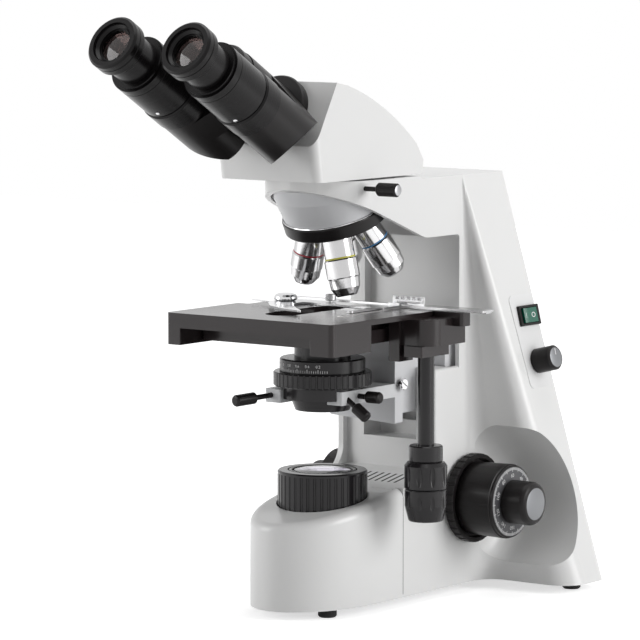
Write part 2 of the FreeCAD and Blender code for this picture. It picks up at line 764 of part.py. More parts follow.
def lamp_parts():
    """Lamp holder, bulb, collector and the mirror that turns the light upward."""
    shelf = box(-20, 20, LAMP_Y + 8, LAMP_Y + 16, FLOOR_TOP, LAMP_Z + 12)
    holder = shelf.fuse(rod(8, V(0, LAMP_Y - 2, LAMP_Z), V(0, LAMP_Y + 9, LAMP_Z)))
    bulb_base = rod(5, V(0, LAMP_Y - 10, LAMP_Z), V(0, LAMP_Y - 2, LAMP_Z))
    bulb = bulb_base.fuse(Part.makeSphere(5, V(0, LAMP_Y - 10, LAMP_Z)))
    stand = box(-17, 17, 46, 54, FLOOR_TOP, LAMP_Z + 17).cut(rod(13, V(0, 40, LAMP_Z), V(0, 60, LAMP_Z)))
    crown = 4.0
    radius = (13 ** 2 + crown ** 2) / (2 * crown)
    ball = Part.makeSphere(radius, V(0, 54 + crown - radius, LAMP_Z))
    glass = rod(13, V(0, 48, LAMP_Z), V(0, 60, LAMP_Z)).common(ball)
    wedge = slab_yz([(-16, FLOOR_TOP), (20, FLOOR_TOP), (20, LAMP_Z - 18), (-16, LAMP_Z + 18)], -17, 17)
    wedge = wedge.cut(box(-13, 13, -20, -8, FLOOR_TOP + 4, LAMP_Z + 30))
    return holder, bulb, group(glass, stand), wedge


def tube_frame():
    """Directions of the slanted front of the head: across, up the slope, outward."""
    rise = math.radians(TUBE_RISE)
    outward = V(0, -math.cos(rise), math.sin(rise))
    up = V(0, math.sin(rise), math.cos(rise))
    return V(1, 0, 0), up, outward


def on_face(shape, x=0.0, v=0.0, t=0.0):
    """Move a shape made about +Z to the slanted face of the head."""
    across, up, outward = tube_frame()
    origin = V(0, FACE_Y, FACE_Z) + across * x + up * v + outward * t
    return put(shape, across, up, origin)


def head_profile(inset):
    """Side outline of the head as (Y, Z) edges, drawn in by inset."""
    across, up, outward = tube_frame()
    centre = V(0, FACE_Y, FACE_Z)
    top = centre + up * (26.5 - inset) - outward * inset
    low = centre - up * (25.7) - outward * inset
    points = [(low.y, low.z), (-66.0 + inset, HEAD_BOTTOM + inset), (62.5 - inset, HEAD_BOTTOM + inset)]
    points += [(63.8 - inset, 333.0), (55.0 - inset, 345.5 - inset * 0.7)]
    chain = [V(y, z, 0) for y, z in points]
    curve_mid = V(14.0 - inset * 0.5, 373.3 - inset * 0.85, 0)
    crest = V(-30.0, 391.2 - inset, 0)
    peak = V(top.y, top.z, 0)
    edges = []
    for a, b in zip(chain, chain[1:]):
        edges.append(Part.LineSegment(a, b).toShape())
    edges.append(Part.Arc(chain[-1], curve_mid, crest).toShape())
    edges.append(Part.LineSegment(crest, peak).toShape())
    edges.append(Part.LineSegment(peak, chain[0]).toShape())
    return Part.Wire(edges)


def head_block(inset):
    half = HEAD_HALF - inset
    solid = Part.Face(head_profile(inset)).extrude(V(0, 0, 2 * half))
    return put(solid, V(0, 1, 0), V(0, 0, 1), V(-half, 0, 0))


def head_casting():
    """White head housing over the prisms, open below and at the slanted face."""
    outer = head_block(0)
    corners = []
    for edge in outer.Edges:
        middle = edge.valueAt((edge.FirstParameter + edge.LastParameter) / 2)
        low_front = middle.y < -64 and middle.z < 340 and abs(abs(middle.x) - HEAD_HALF) < 0.1
        if low_front and edge.BoundBox.ZLength > 15:
            corners.append(edge)
    outer = outer.makeFillet(7, corners)
    hollow = head_block(HEAD_WALL)
    lower = rod(DOVETAIL_FOOT - 6, V(0, 0, HEAD_BOTTOM - 1), V(0, 0, HEAD_BOTTOM + HEAD_WALL + 1))
    front = on_face(Part.makeCylinder(HUB_PIN + 6, 20, V(0, 0, -15)))
    return outer.cut([hollow, lower, front])


def head_dovetail_foot():
    """Round dovetail under the head, which turns in the ring on the arm."""
    low = ARM_TOP + RUN_GAP
    high = HEAD_BOTTOM
    upper = HEAD_BOTTOM + HEAD_WALL
    outer = DOVETAIL_FOOT
    return lathe([(18, low), (outer, low), (outer - 2.2, high - 0.6), (outer - 2.2, high), (outer - 6.2, high),
                  (outer - 6.2, upper), (18, upper)])


def arm_dovetail_ring():
    """Fixed ring on the arm that holds the head's dovetail."""
    gap = RUN_GAP
    high = HEAD_BOTTOM - gap
    inner = DOVETAIL_FOOT + gap
    return lathe([(inner, ARM_TOP), (DOVETAIL_RADIUS, ARM_TOP), (DOVETAIL_RADIUS, high), (inner - 2.2, high)])


def head_lock_screw():
    """Thumbscrew through the right cheek of the arm that clamps the head."""
    start = ARM_HALF - ARM_CHEEK - 6
    knob_at = ARM_HALF + LOCK_REACH - LOCK_KNOB_LENGTH
    shaft = Part.makeCylinder(LOCK_SHAFT_RADIUS, knob_at - start + 1, V(0, 0, start))
    knob = lathe([(0, knob_at), (LOCK_KNOB_RADIUS - 1.4, knob_at), (LOCK_KNOB_RADIUS, knob_at + 1.6),
                  (LOCK_KNOB_RADIUS, ARM_HALF + LOCK_REACH - 1), (LOCK_KNOB_RADIUS - 1, ARM_HALF + LOCK_REACH),
                  (0, ARM_HALF + LOCK_REACH)])
    groove = rod(0.45, V(LOCK_KNOB_RADIUS + 0.15, 0, knob_at + 2), V(LOCK_KNOB_RADIUS + 0.15, 0, 100))
    knob = knob.cut(around(groove, 18))
    return put(shaft.fuse(knob), V(0, 1, 0), V(0, 0, 1), V(0, LOCK_Y, LOCK_Z))


def hub_plate():
    """Black disc on the slanted face, with the pivot of both tube housings."""
    disc = lathe([(0, 0), (HUB_RADIUS, 0), (HUB_RADIUS, HUB_THICK - 1), (HUB_RADIUS - 1, HUB_THICK),
                  (HUB_PIN, HUB_THICK), (HUB_PIN, HUB_PIN_TOP), (0, HUB_PIN_TOP)])
    spigot = Part.makeCylinder(HUB_PIN + 6 - SHAFT_GAP, HEAD_WALL, V(0, 0, -HEAD_WALL))
    bore = Part.makeCylinder(HUB_PIN - 2, HEAD_WALL + HUB_THICK + LOBE_HEIGHT, V(0, 0, -HEAD_WALL))
    return on_face(disc.fuse(spigot).cut(bore))


def beam_splitter_prism():
    """Glass prism block inside the head, on the optical axis."""
    points = [(-16, HEAD_BOTTOM + HEAD_WALL), (16, HEAD_BOTTOM + HEAD_WALL), (16, 352), (-16, 362)]
    return slab_yz(points, -14, 14)


def tube_drop(side):
    """How far each tube hangs below the hub, on the slanted face."""
    return RIGHT_DROP if side > 0 else LEFT_DROP


def tube_x(side):
    return side * math.sqrt(TUBE_ARM ** 2 - tube_drop(side) ** 2)


def prism_housing(side):
    """Tube housing with its lobe round the hub; the back is cut at 45 degrees."""
    base = HUB_THICK + RUN_GAP
    top = base + HOUSING_LENGTH
    low = base if side > 0 else base + LOBE_HEIGHT + RUN_GAP
    high = low + LOBE_HEIGHT - RUN_GAP
    x, y = tube_x(side), -tube_drop(side)
    tube = Part.makeCylinder(TUBE_RADIUS, top - base, V(x, y, base))
    hub = Part.makeCylinder(LOBE_RADIUS, high - low, V(0, 0, low))
    arm = math.hypot(x, y)
    lean = math.asin((TUBE_RADIUS - LOBE_RADIUS) / arm)
    edge = []
    for sign in (-1, 1):
        turn = math.atan2(y, x) + sign * (math.pi / 2 + lean)
        edge.append((math.cos(turn), math.sin(turn)))
    corners = [(LOBE_RADIUS * edge[0][0], LOBE_RADIUS * edge[0][1])]
    corners.append((x + TUBE_RADIUS * edge[0][0], y + TUBE_RADIUS * edge[0][1]))
    corners.append((x + TUBE_RADIUS * edge[1][0], y + TUBE_RADIUS * edge[1][1]))
    corners.append((LOBE_RADIUS * edge[1][0], LOBE_RADIUS * edge[1][1]))
    bridge = slab_xy(corners, low, high)
    body = tube.fuse([hub, bridge])
    if side < 0:
        cap = lathe([(0, high - 1), (HUB_CAP_RADIUS, high - 1), (HUB_CAP_RADIUS, HUB_CAP_TOP - 3),
                     (HUB_CAP_RADIUS - 0.9, HUB_CAP_TOP - 0.9), (HUB_CAP_RADIUS - 3, HUB_CAP_TOP), (0, HUB_CAP_TOP)])
        keep = Part.makeCylinder(TUBE_RADIUS + RUN_GAP, 100, V(x, y, top - 0.5))
        body = body.fuse(cap.cut(keep))
    out = V(x / arm, y / arm, 0)
    cutter = Part.makeBox(120, 120, 60, V(-60, -60, -60))
    slant = (out - V(0, 0, 1)).normalize()
    cross = V(-out.y, out.x, 0)
    cutter = put(cutter, cross, slant.cross(cross) * -1, V(x, y, base))
    body = body.cut(cutter) if cutter.isInside(V(x, y, base - 5), 1e-6, True) else body
    bore = Part.makeCylinder(HUB_PIN + SHAFT_GAP, HUB_PIN_TOP + RUN_GAP)
    light = Part.makeCylinder(EYE_TUBE_BORE, top, V(x, y, low + 2))
    passage = box(-6, arm, -6, 6, low + 5, high - 5)
    passage.rotate(V(0, 0, 0), V(0, 0, 1), math.degrees(math.atan2(y, x)))
    return on_face(body.cut([bore, light, passage]))


def rhomboid_prism(side):
    """Glass block in the housing that carries the beam from hub to tube."""
    base = HUB_THICK + RUN_GAP
    low = base if side > 0 else base + LOBE_HEIGHT + RUN_GAP
    high = low + LOBE_HEIGHT - RUN_GAP
    x, y = tube_x(side), -tube_drop(side)
    arm = math.hypot(x, y)
    block = slab_xz([(HUB_PIN + 1.5, low + 5), (arm - 8, low + 5), (arm + 5, high - 5), (HUB_PIN + 1.5, high - 5)],
                    -6, 6)
    block = block.common(box(0, arm, -6, 6, 0, 100))
    block.rotate(V(0, 0, 0), V(0, 0, 1), math.degrees(math.atan2(y, x)))
    return on_face(block)


def tube_station(length):
    """Distance along the tube from the slanted face, for each step of the tube."""
    return HUB_THICK + RUN_GAP + length


def diopter_collar(side):
    """Turning collar on the tube, with a wider step next to the housing."""
    low = HOUSING_LENGTH + RUN_GAP
    step = low + STEP_LENGTH
    high = step + COLLAR_LENGTH
    inner = BARREL_RADIUS - 3 + SHAFT_GAP
    lip = COLLAR_TUBE_RADIUS - 1.6
    body = lathe([(inner, low), (STEP_RADIUS, low), (STEP_RADIUS, step - 1.2), (STEP_RADIUS - 1.2, step),
                  (COLLAR_TUBE_RADIUS - 0.9, step), (COLLAR_TUBE_RADIUS - 0.9, step + 1.5),
                  (COLLAR_TUBE_RADIUS, step + 1.5), (COLLAR_TUBE_RADIUS, high - 9), (COLLAR_TUBE_RADIUS - 0.5, high - 8.6),
                  (COLLAR_TUBE_RADIUS, high - 8.2), (COLLAR_TUBE_RADIUS, high - 2.4), (lip, high - 2.4), (lip, high),
                  (inner, high)])
    return on_face(body, tube_x(side), -tube_drop(side), tube_station(0))


def eyepiece(side):
    """Eyepiece with its barrel in the collar and a ribbed rim."""
    low = HOUSING_LENGTH + RUN_GAP + STEP_LENGTH + COLLAR_LENGTH
    rim = low + BARREL_LENGTH
    top = rim + RIM_LENGTH
    spigot = BARREL_RADIUS - 3
    body = lathe([(EYE_BORE - 3.2, low - 22), (spigot, low - 22), (spigot, low), (BARREL_RADIUS, low),
                  (BARREL_RADIUS, rim), (RIM_RADIUS - 0.8, rim), (RIM_RADIUS, rim + 1), (RIM_RADIUS, rim + 5.6),
                  (RIM_RADIUS - 0.7, rim + 6.1), (RIM_RADIUS, rim + 6.6), (RIM_RADIUS, top - 1.6),
                  (RIM_RADIUS - 1.6, top), (EYE_BORE + 0.6, top), (EYE_BORE, top - 2.4),
                  (EYE_LENS_RADIUS + 1, top - 4.2), (EYE_LENS_RADIUS + 1, top - 5), (EYE_LENS_RADIUS, top - 5),
                  (EYE_LENS_RADIUS, top - 9), (EYE_BORE - 3.2 - 0.8, top - 9), (EYE_BORE - 3.2 - 0.8, low + 4),
                  (EYE_BORE - 3.2, low + 4)])
    return on_face(body, tube_x(side), -tube_drop(side), tube_station(0))


def eye_lens(side):
    top = HOUSING_LENGTH + RUN_GAP + STEP_LENGTH + COLLAR_LENGTH + BARREL_LENGTH + RIM_LENGTH
    crown = 1.8
    radius = (EYE_LENS_RADIUS ** 2 + crown ** 2) / (2 * crown)
    edge = top - 9 + 2
    ball = Part.makeSphere(radius, V(0, 0, edge + crown - radius))
    glass = Part.makeCylinder(EYE_LENS_RADIUS, 6, V(0, 0, top - 9)).common(ball)
    return on_face(glass, tube_x(side), -tube_drop(side), tube_station(0))


def turret_frame():
    """Axis of the nosepiece, pointing down and back, and the way up and back."""
    tilt = math.radians(NOSE_TILT)
    down = V(0, math.sin(tilt), -math.cos(tilt))
    back = V(0, math.cos(tilt), math.sin(tilt))
    return down, back


def on_turret(shape, depth=0.0):
    """Move a shape made about +Z so that +Z points down the nosepiece axis."""
    down, back = turret_frame()
    return put(shape, back, down.cross(back), V(0, TURRET_Y, TURRET_Z) + down * depth)


def seat_circle():
    """Distance of the objective axes from the nosepiece axis, at the seats."""
    tilt = math.radians(NOSE_TILT)
    return (TURRET_Y + SEAT_DEPTH * math.sin(tilt)) / math.cos(tilt)


def seat_place(turn):
    """Seat centre and direction of the objective at a turn from the front."""
    down, back = turret_frame()
    tilt = math.radians(NOSE_TILT)
    angle = math.radians(turn)
    outward = V(1, 0, 0) * math.sin(angle) - back * math.cos(angle)
    centre = V(0, TURRET_Y, TURRET_Z) + down * SEAT_DEPTH + outward * seat_circle()
    aim = down * math.cos(tilt) + outward * math.sin(tilt)
    return centre, aim


def seat_turns():
    step = 360.0 / OBJECTIVE_COUNT
    return [TURRET_TURN + step * (i - 1) for i in range(OBJECTIVE_COUNT)]


def nosepiece_mount():
    """Light grey cone between the arm and the turning nosepiece."""
    gap = RUN_GAP
    height = 30.0
    body = lathe([(0, TURRET_HEIGHT + gap), (MOUNT_LOW_RADIUS, TURRET_HEIGHT + gap),
                  (MOUNT_TOP_RADIUS, height), (MOUNT_TOP_RADIUS, height + 20), (0, height + 20)])
    body = body.mirror(V(0, 0, 0), V(0, 0, 1))
    body = on_turret(body)
    pocket = nose_plan(ARM_HALF - ARM_CHEEK - 0.3, THROAT_TOP - 20, ARM_TOP - ARM_ROOF, 76)
    body = body.common(pocket)
    light = rod(10, V(0, 0, 250), V(0, 0, 330))
    pin = Part.makeCylinder(7, TURRET_HEIGHT + 2, V(0, 0, -TURRET_HEIGHT - 1))
    return body.cut(light).fuse(on_turret(pin))


def nosepiece_turret():
    """Black grip ring with the conical disc inside it that holds the objectives."""
    grip = TURRET_RADIUS
    slope = TAN_TILT
    seat_out = seat_circle() - SEAT_SINK * math.sin(math.radians(NOSE_TILT))
    seat_low = SEAT_DEPTH - SEAT_SINK * math.cos(math.radians(NOSE_TILT)) + 1.3
    cone_out = 32.0
    cone_in = 10.0
    rim_low = seat_low + (seat_out - cone_out) * slope
    hub_low = seat_low + (seat_out - cone_in) * slope
    disc = lathe([(0, -TURRET_HEIGHT), (grip - 0.4, -TURRET_HEIGHT), (grip, -TURRET_HEIGHT + 1.2),
                  (grip - 0.7, -0.8), (grip - 1.4, 0), (cone_out + 0.8, 0), (cone_out, rim_low), (cone_in, hub_low),
                  (0, hub_low)])
    disc = on_turret(disc)
    for turn in seat_turns():
        centre, aim = seat_place(turn)
        face = centre - aim * SEAT_SINK
        disc = disc.cut(rod(UPPER_RADIUS + 0.4, face, face + aim * 14))
        disc = disc.cut(rod(THREAD_RADIUS + SHAFT_GAP, face - aim * 18, face + aim * 2))
    bore = Part.makeCylinder(7 + SHAFT_GAP, 60, V(0, 0, -30))
    return disc.cut(on_turret(bore))


# Length, upper and lower radius, end radius, where the grip ends, radius of the front glass
OBJECTIVES = {
    "objective_4x": (38.5, 11.3, 12.1, 8.0, 27.0, 4.5),
    "objective_10x": (43.0, 11.3, 12.3, 7.8, 30.0, 3.5),
    "objective_40x": (44.4, 11.1, 12.0, 7.8, 33.0, 2.2),
    "objective_100x": (44.4, 11.1, 12.0, 7.2, 31.0, 1.8),
}
UPPER_RADIUS = 11.3
COLOUR_LINE = 14.6


def objective(name, turn):
    """Objective: thread, upper barrel, colour groove, wider grip and blunt cone."""
    length, upper, lower, tip, grip_end, glass = OBJECTIVES[name]
    start = -SEAT_SINK
    groove = COLOUR_LINE
    taper = grip_end + (length - grip_end) * 0.55
    profile = [(0, start - 4), (THREAD_RADIUS, start - 4), (THREAD_RADIUS, start), (upper, start),
               (upper, groove - 0.6), (upper - 0.3, groove - 0.6), (upper - 0.3, groove + 0.6), (upper, groove + 0.6),
               (lower, groove + 1.6), (lower, grip_end - 0.8), (lower - 0.5, grip_end),
               ((lower + tip) / 2 + 1.0, taper), (tip + 0.6, length - 1.4), (tip - 0.6, length),
               (glass + 1.2, length), (glass, length - 1.2), (0, length - 1.2)]
    body = lathe(profile)
    centre, aim = seat_place(turn)
    side = aim.cross(V(1, 0, 0)).normalize()
    return put(body, side, aim.cross(side), centre)


def front_lenses():
    """Front glass of each objective, set in its end."""
    glasses = []
    for name, turn in zip(OBJECTIVES, seat_turns()):
        length, glass = OBJECTIVES[name][0], OBJECTIVES[name][5]
        centre, aim = seat_place(turn)
        glasses.append(rod(glass, centre + aim * (length - 1.2), centre + aim * (length - 0.4)))
    return group(*glasses)


def stage_top_plate():
    """Black top plate with a front apron, two side legs and the light slot."""
    top = STAGE_TOP
    low = top - STAGE_PLATE
    c = STAGE_CHAMFER
    half = STAGE_HALF
    leg_back = STAGE_FRONT + LEG_LENGTH
    outline = [(-half, STAGE_FRONT), (half, STAGE_FRONT), (half, STAGE_BACK), (-STAGE_STEP_X, STAGE_BACK),
               (-STAGE_STEP_X, STAGE_STEP_Y), (-half, STAGE_STEP_Y)]
    plate = slab_xy(outline, low, top, [c, c, 2, 2, 2, 2])
    apron = slab_xy([(-half, STAGE_FRONT), (half, STAGE_FRONT), (half, STAGE_FRONT + 12), (-half, STAGE_FRONT + 12)],
                    top - APRON_DEPTH, low + 0.5, [c, c, 0.5, 0.5])
    right = slab_xy([(LEG_RIGHT_INNER, STAGE_FRONT), (half, STAGE_FRONT), (half, leg_back),
                     (LEG_RIGHT_INNER, leg_back)], top - LEG_DEPTH, low + 0.5, [0.5, c, 1, 0.5])
    left = slab_xy([(-half, STAGE_FRONT), (LEG_LEFT_INNER, STAGE_FRONT), (LEG_LEFT_INNER, leg_back),
                    (-half, leg_back)], top - LEG_DEPTH, low + 0.5, [c, 0.5, 0.5, 1])
    plate = plate.fuse([apron, right, left])
    slot = slab_xy([(-SLOT_HALF, SLOT_FRONT), (SLOT_HALF, SLOT_FRONT), (SLOT_HALF, SLOT_BACK),
                    (-SLOT_HALF, SLOT_BACK)], 190, 240, [SLOT_HALF - 0.1] * 4)
    return plate.cut(slot)


def stage_lower_plate():
    """Plate on the carriage with two rails that the top plate slides on."""
    high = LOWER_TOP
    low = high - LOWER_THICK
    left = LEG_LEFT_INNER + LOWER_SIDE_GAP
    right = LEG_RIGHT_INNER - LOWER_SIDE_GAP
    plate = slab_xy([(left, LOWER_FRONT), (right, LOWER_FRONT), (right, LOWER_BACK), (left, LOWER_BACK)],
                    low, high, [4, 4, 4, 4])
    rail = box(RAIL_INNER, RAIL_INNER + RAIL_WIDE, RAIL_FRONT, LOWER_BACK - 3, high - 1,
               STAGE_TOP - STAGE_PLATE - RUN_GAP)
    plate = plate.fuse([rail, mirror_x(rail)])
    hole = slab_xy([(-24, -34), (24, -34), (24, 24), (-24, 24)], low - 1, high + 1, [23.9] * 4)
    return plate.cut(hole)


def stage_carriage():
    """Focusing carriage: front plate, neck and the slide in the column."""
    plate_top = LOWER_TOP - LOWER_THICK
    low = CARRIAGE_BOTTOM
    half = CARRIAGE_HALF
    front = CARRIAGE_FRONT
    body = box(-half, half, front, front + CARRIAGE_THICK, low + 28, plate_top)
    lower = slab_xz([(-half, low + 3), (half, low), (half, low + 28), (-half, low + 28)], front,
                    front + CARRIAGE_THICK, [2, 1, 0, 0])
    neck = box(-SLIDE_HALF, SLIDE_HALF, front + CARRIAGE_THICK - 1, NECK_BACK, low + 6, plate_top)
    slide = box(-RAIL_X - 6.5, RAIL_X + 6.5, COLUMN_FRONT - 8, COLUMN_FRONT - 2.5, low + 20, plate_top)
    deep = RAIL_Y + 5.5
    for x in (-RAIL_X, RAIL_X):
        shoe = box(x - 6.5, x + 6.5, COLUMN_FRONT - 4, deep, GUIDE_BOTTOM + STAGE_DROP + 2, plate_top)
        slide = slide.fuse(shoe)
    body = body.fuse([lower, neck, slide])
    for x in (-RAIL_X, RAIL_X):
        body = body.cut(rod(RAIL_RADIUS + SHAFT_GAP, V(x, RAIL_Y, low), V(x, RAIL_Y, 260)))
    return body.cut(lift_bore())


def guide_rails():
    """Two ground steel rails in the channel of the column."""
    rails = []
    for x in (-RAIL_X, RAIL_X):
        rails.append(rod(RAIL_RADIUS, V(x, RAIL_Y, GUIDE_BOTTOM), V(x, RAIL_Y, RAIL_TOP)))
    return group(*rails)


def drive_housing():
    """Gear housing on the right edge of the stage, with the guide of the rack bar."""
    top = STAGE_TOP - STAGE_PLATE
    r = DRIVE_RADIUS
    inner = STAGE_HALF - 9
    points = [(inner, ROD_Y - r), (ROD_X + r, ROD_Y - r), (ROD_X + r, DRIVE_BACK), (inner, DRIVE_BACK)]
    body = slab_xy(points, DRIVE_BOTTOM, top, [1, r - 0.1, 2, 1])
    front = ROD_Y - 16
    shelf = slab_xy([(inner + 4, front), (ROD_X + 7.5, front), (ROD_X + 7.5, front + 35), (inner + 4, front + 35)],
                    DRIVE_BOTTOM - DRIVE_PLATE, DRIVE_BOTTOM, [1, 1, 1, 1])
    guide = slab_xy([(inner + 1, BAR_Y - 6), (BAR_RIGHT - 19, BAR_Y - 6), (BAR_RIGHT - 19, BAR_Y + 6),
                     (inner + 1, BAR_Y + 6)], top - 6, top, [0.5, 3, 3, 0.5])
    lip = slab_xy([(STAGE_HALF + RUN_GAP, BAR_Y - 6), (BAR_RIGHT - 19, BAR_Y - 6), (BAR_RIGHT - 19, BAR_Y + 6),
                   (STAGE_HALF + RUN_GAP, BAR_Y + 6)], top - 1, STAGE_TOP, [0.5, 3, 3, 0.5])
    lug = slab_xy([(inner - 9, ROD_Y - 17), (inner + 1, ROD_Y - 17), (inner + 1, ROD_Y), (inner - 9, ROD_Y)],
                  DRIVE_BOTTOM - DRIVE_PLATE - 3.8, top, [1, 0, 0, 1])
    body = body.fuse([shelf, guide, lip, lug])
    bore = rod(SLEEVE_RADIUS + SHAFT_GAP, V(ROD_X, ROD_Y, DRIVE_BOTTOM - 20), V(ROD_X, ROD_Y, DRIVE_BOTTOM + 10))
    return body.cut(bore)


def knob_grooves(radius, z_low, z_high, count):
    """Shallow oval finger hollows round a vertical knob."""
    groove = Part.makeSphere(1.0, V(0, 0, 0))
    stretch = FreeCAD.Matrix()
    stretch.scale(1.7, 2.4, (z_high - z_low) / 2)
    groove = groove.transformGeometry(stretch)
    groove.translate(V(radius + 0.5, 0, (z_low + z_high) / 2))
    return around(groove, count)


def y_travel_knob():
    """Lower knob on the inner rod: moves the stage to and fro."""
    r = CONTROL_RADIUS
    knob = lathe([(0, CONTROL_BOTTOM), (r - 3.6, CONTROL_BOTTOM), (r - 3, CONTROL_BOTTOM + 0.8),
                  (r - 0.3, CONTROL_SPLIT - 12), (r - 0.3, CONTROL_SPLIT - 1), (r - 0.8, CONTROL_SPLIT - RUN_GAP / 2),
                  (0, CONTROL_SPLIT - RUN_GAP / 2)])
    knob = knob.cut(knob_grooves(r, CONTROL_BOTTOM + 4, CONTROL_SPLIT - 3, 10))
    inner = Part.makeCylinder(ROD_RADIUS, DRIVE_BOTTOM + 9 - CONTROL_SPLIT + 1, V(0, 0, CONTROL_SPLIT - 1))
    whole = knob.fuse(inner)
    whole.translate(V(ROD_X, ROD_Y, 0))
    return whole


def x_travel_knob():
    """Upper knob on the outer sleeve: moves the specimen left and right."""
    r = CONTROL_RADIUS
    low = CONTROL_SPLIT + RUN_GAP / 2
    neck = CONTROL_TOP - 12
    bore = ROD_RADIUS + SHAFT_GAP
    knob = lathe([(bore, low), (r - 0.8, low), (r, low + 0.8), (r, neck - 3), (r - 2, neck - 0.5),
                  (CONTROL_COLLAR - 0.4, neck), (CONTROL_COLLAR, neck + 0.8), (CONTROL_COLLAR, CONTROL_TOP - 0.8),
                  (CONTROL_COLLAR - 0.8, CONTROL_TOP), (SLEEVE_RADIUS, CONTROL_TOP),
                  (SLEEVE_RADIUS, DRIVE_BOTTOM + 5), (bore, DRIVE_BOTTOM + 5)])
    knob = knob.cut(knob_grooves(r, low + 2, neck - 2, 10))
    knob.translate(V(ROD_X, ROD_Y, 0))
    return knob


def specimen_bar():
    """Rack bar behind the slide; it slides on the stage and over its guide."""
    low = STAGE_TOP + RUN_GAP
    half = BAR_WIDTH / 2
    body = box(BAR_LEFT, BAR_RIGHT, BAR_Y - half, BAR_Y + half, low, low + 2.4)
    cover = slab_xy([(52, BAR_Y - 7), (BAR_RIGHT, BAR_Y - 7), (BAR_RIGHT, BAR_Y + 7), (52, BAR_Y + 7)],
                    low + 0.9, low + 2.4, [1, 1, 1, 1])
    return body.fuse(cover)


def specimen_holder():
    """Steel plate with the fixed jaw, the tab of the finger, a clamp screw and an upright scale plate."""
    low = STAGE_TOP + RUN_GAP
    back = BAR_Y - BAR_WIDTH / 2
    high = low + HOLDER_THICK
    base = slab_xy([(-50, 16), (44, 16), (44, back), (-50, back)], low, high, [3, 1, 0, 0])
    tab = slab_xy([(FINGER_X - 9, FINGER_Y - 7), (FINGER_X + 8, FINGER_Y - 7), (FINGER_X + 8, 17), (FINGER_X - 9, 17)],
                  low, high, [4, 4, 0, 0])
    jaw = slab_xy([(34, -18), (40, -18), (40, 17), (34, 17)], low, high, [2, 2, 0, 0])
    foot = box(34, 44, back, BAR_Y + 1, low + 2.4, low + 3.4)
    step = box(34, 44, back - 1.5, back, low, low + 3.4)
    scale = box(34.5, 63, BAR_Y, BAR_Y + 1.4, low + 2.4, STAGE_TOP + 8.7)
    screw = lathe([(0, high - 0.5), (1.6, high - 0.5), (1.6, high + 1), (3.6, high + 1), (4, high + 1.5),
                   (4, high + 5.5), (3.5, high + 6), (0, high + 6)])
    screw.translate(V(-14, 29, 0))
    return base.fuse([tab, jaw, step, foot, scale, screw])


def specimen_finger():
    """Sprung claw that holds the slide against the jaw, with a domed thumb knob and a thin tail."""
    deck = STAGE_TOP + RUN_GAP + HOLDER_THICK + RUN_GAP
    knob = lathe([(0, 0), (7.4, 0), (7.4, 1.4), (8.5, 2.0), (8.9, 3.0), (8.7, 4.4), (7.6, 5.9), (5.4, 6.8), (0, 7.2)])
    knob.translate(V(FINGER_X, FINGER_Y, deck))
    claw = [(-46, 2), (-40, -14), (-24, -33), (-4, -44), (15, -49.5), (16, -47.5), (4, -37), (-10, -22),
            (-20, -6), (-30, 6)]
    arm = slab_xy(claw, deck, deck + 1.4, [3, 12, 16, 16, 0.8, 0.8, 12, 12, 12, 3])
    tail = slab_xy([(-38, -9), (-36, -5), (-67, 3.4), (-68, 1.2)], deck, deck + 1.0, [0, 0, 0.8, 0.8])
    return knob.fuse([arm, tail])


def fork_room():
    """Space of the fork with its clearance, which the condenser's flanges leave free."""
    gap = RUN_GAP
    low = FORK_LOW - gap
    high = FORK_HIGH + gap
    inner = FORK_BORE - 2.7 - gap
    right = box(inner, 60, FORK_RIGHT_FRONT - gap, 60, low, high)
    left = box(-60, -inner, FORK_LEFT_FRONT - gap, 60, low, high)
    return [right, left, box(-60, 60, 22 - gap, 60, low, high)]


def condenser_body():
    """Fixed part of the condenser: barrel, dial and the flanges above and below the fork."""
    flanges = lathe([(17, 149), (20.4, 149), (23.7, 157.8), (31, 158), (31, CONDENSER_RING_LOW - RUN_GAP),
                     (17, CONDENSER_RING_LOW - RUN_GAP)])
    return condenser_turned().fuse(flanges.cut(fork_room()))


def condenser_turned():
    return lathe([(8, 150), (15, 150), (20.5, 151.5), (FORK_BORE - 0.2, 153.5), (FORK_BORE - 0.2, FORK_HIGH + 0.3),
                  (31, FORK_HIGH + 0.3), (31, CONDENSER_RING_LOW - RUN_GAP), (28, CONDENSER_RING_LOW - RUN_GAP),
                  (28, CONDENSER_RING_HIGH + RUN_GAP), (DIAL_RADIUS, CONDENSER_RING_HIGH + RUN_GAP),
                  (DIAL_RADIUS, DIAL_TOP - 1), (DIAL_RADIUS - 1, DIAL_TOP), (CONDENSER_BARREL, DIAL_TOP),
                  (CONDENSER_BARREL, BARREL_TOP - 0.8), (CONDENSER_BARREL - 0.8, BARREL_TOP),
                  (CONDENSER_NECK + 3.5, BARREL_TOP + 5), (CONDENSER_NECK, CONDENSER_TIP - 12),
                  (CONDENSER_NECK, CONDENSER_TIP - 0.8), (CONDENSER_NECK - 0.8, CONDENSER_TIP), (9, CONDENSER_TIP),
                  (9, CONDENSER_TIP - 5), (8, CONDENSER_TIP - 5)])


def condenser_lens():
    glass = rod(9, V(0, 0, CONDENSER_TIP - 5), V(0, 0, CONDENSER_TIP - 0.5))
    lower = rod(8, V(0, 0, 151), V(0, 0, 155))
    return group(glass, lower)


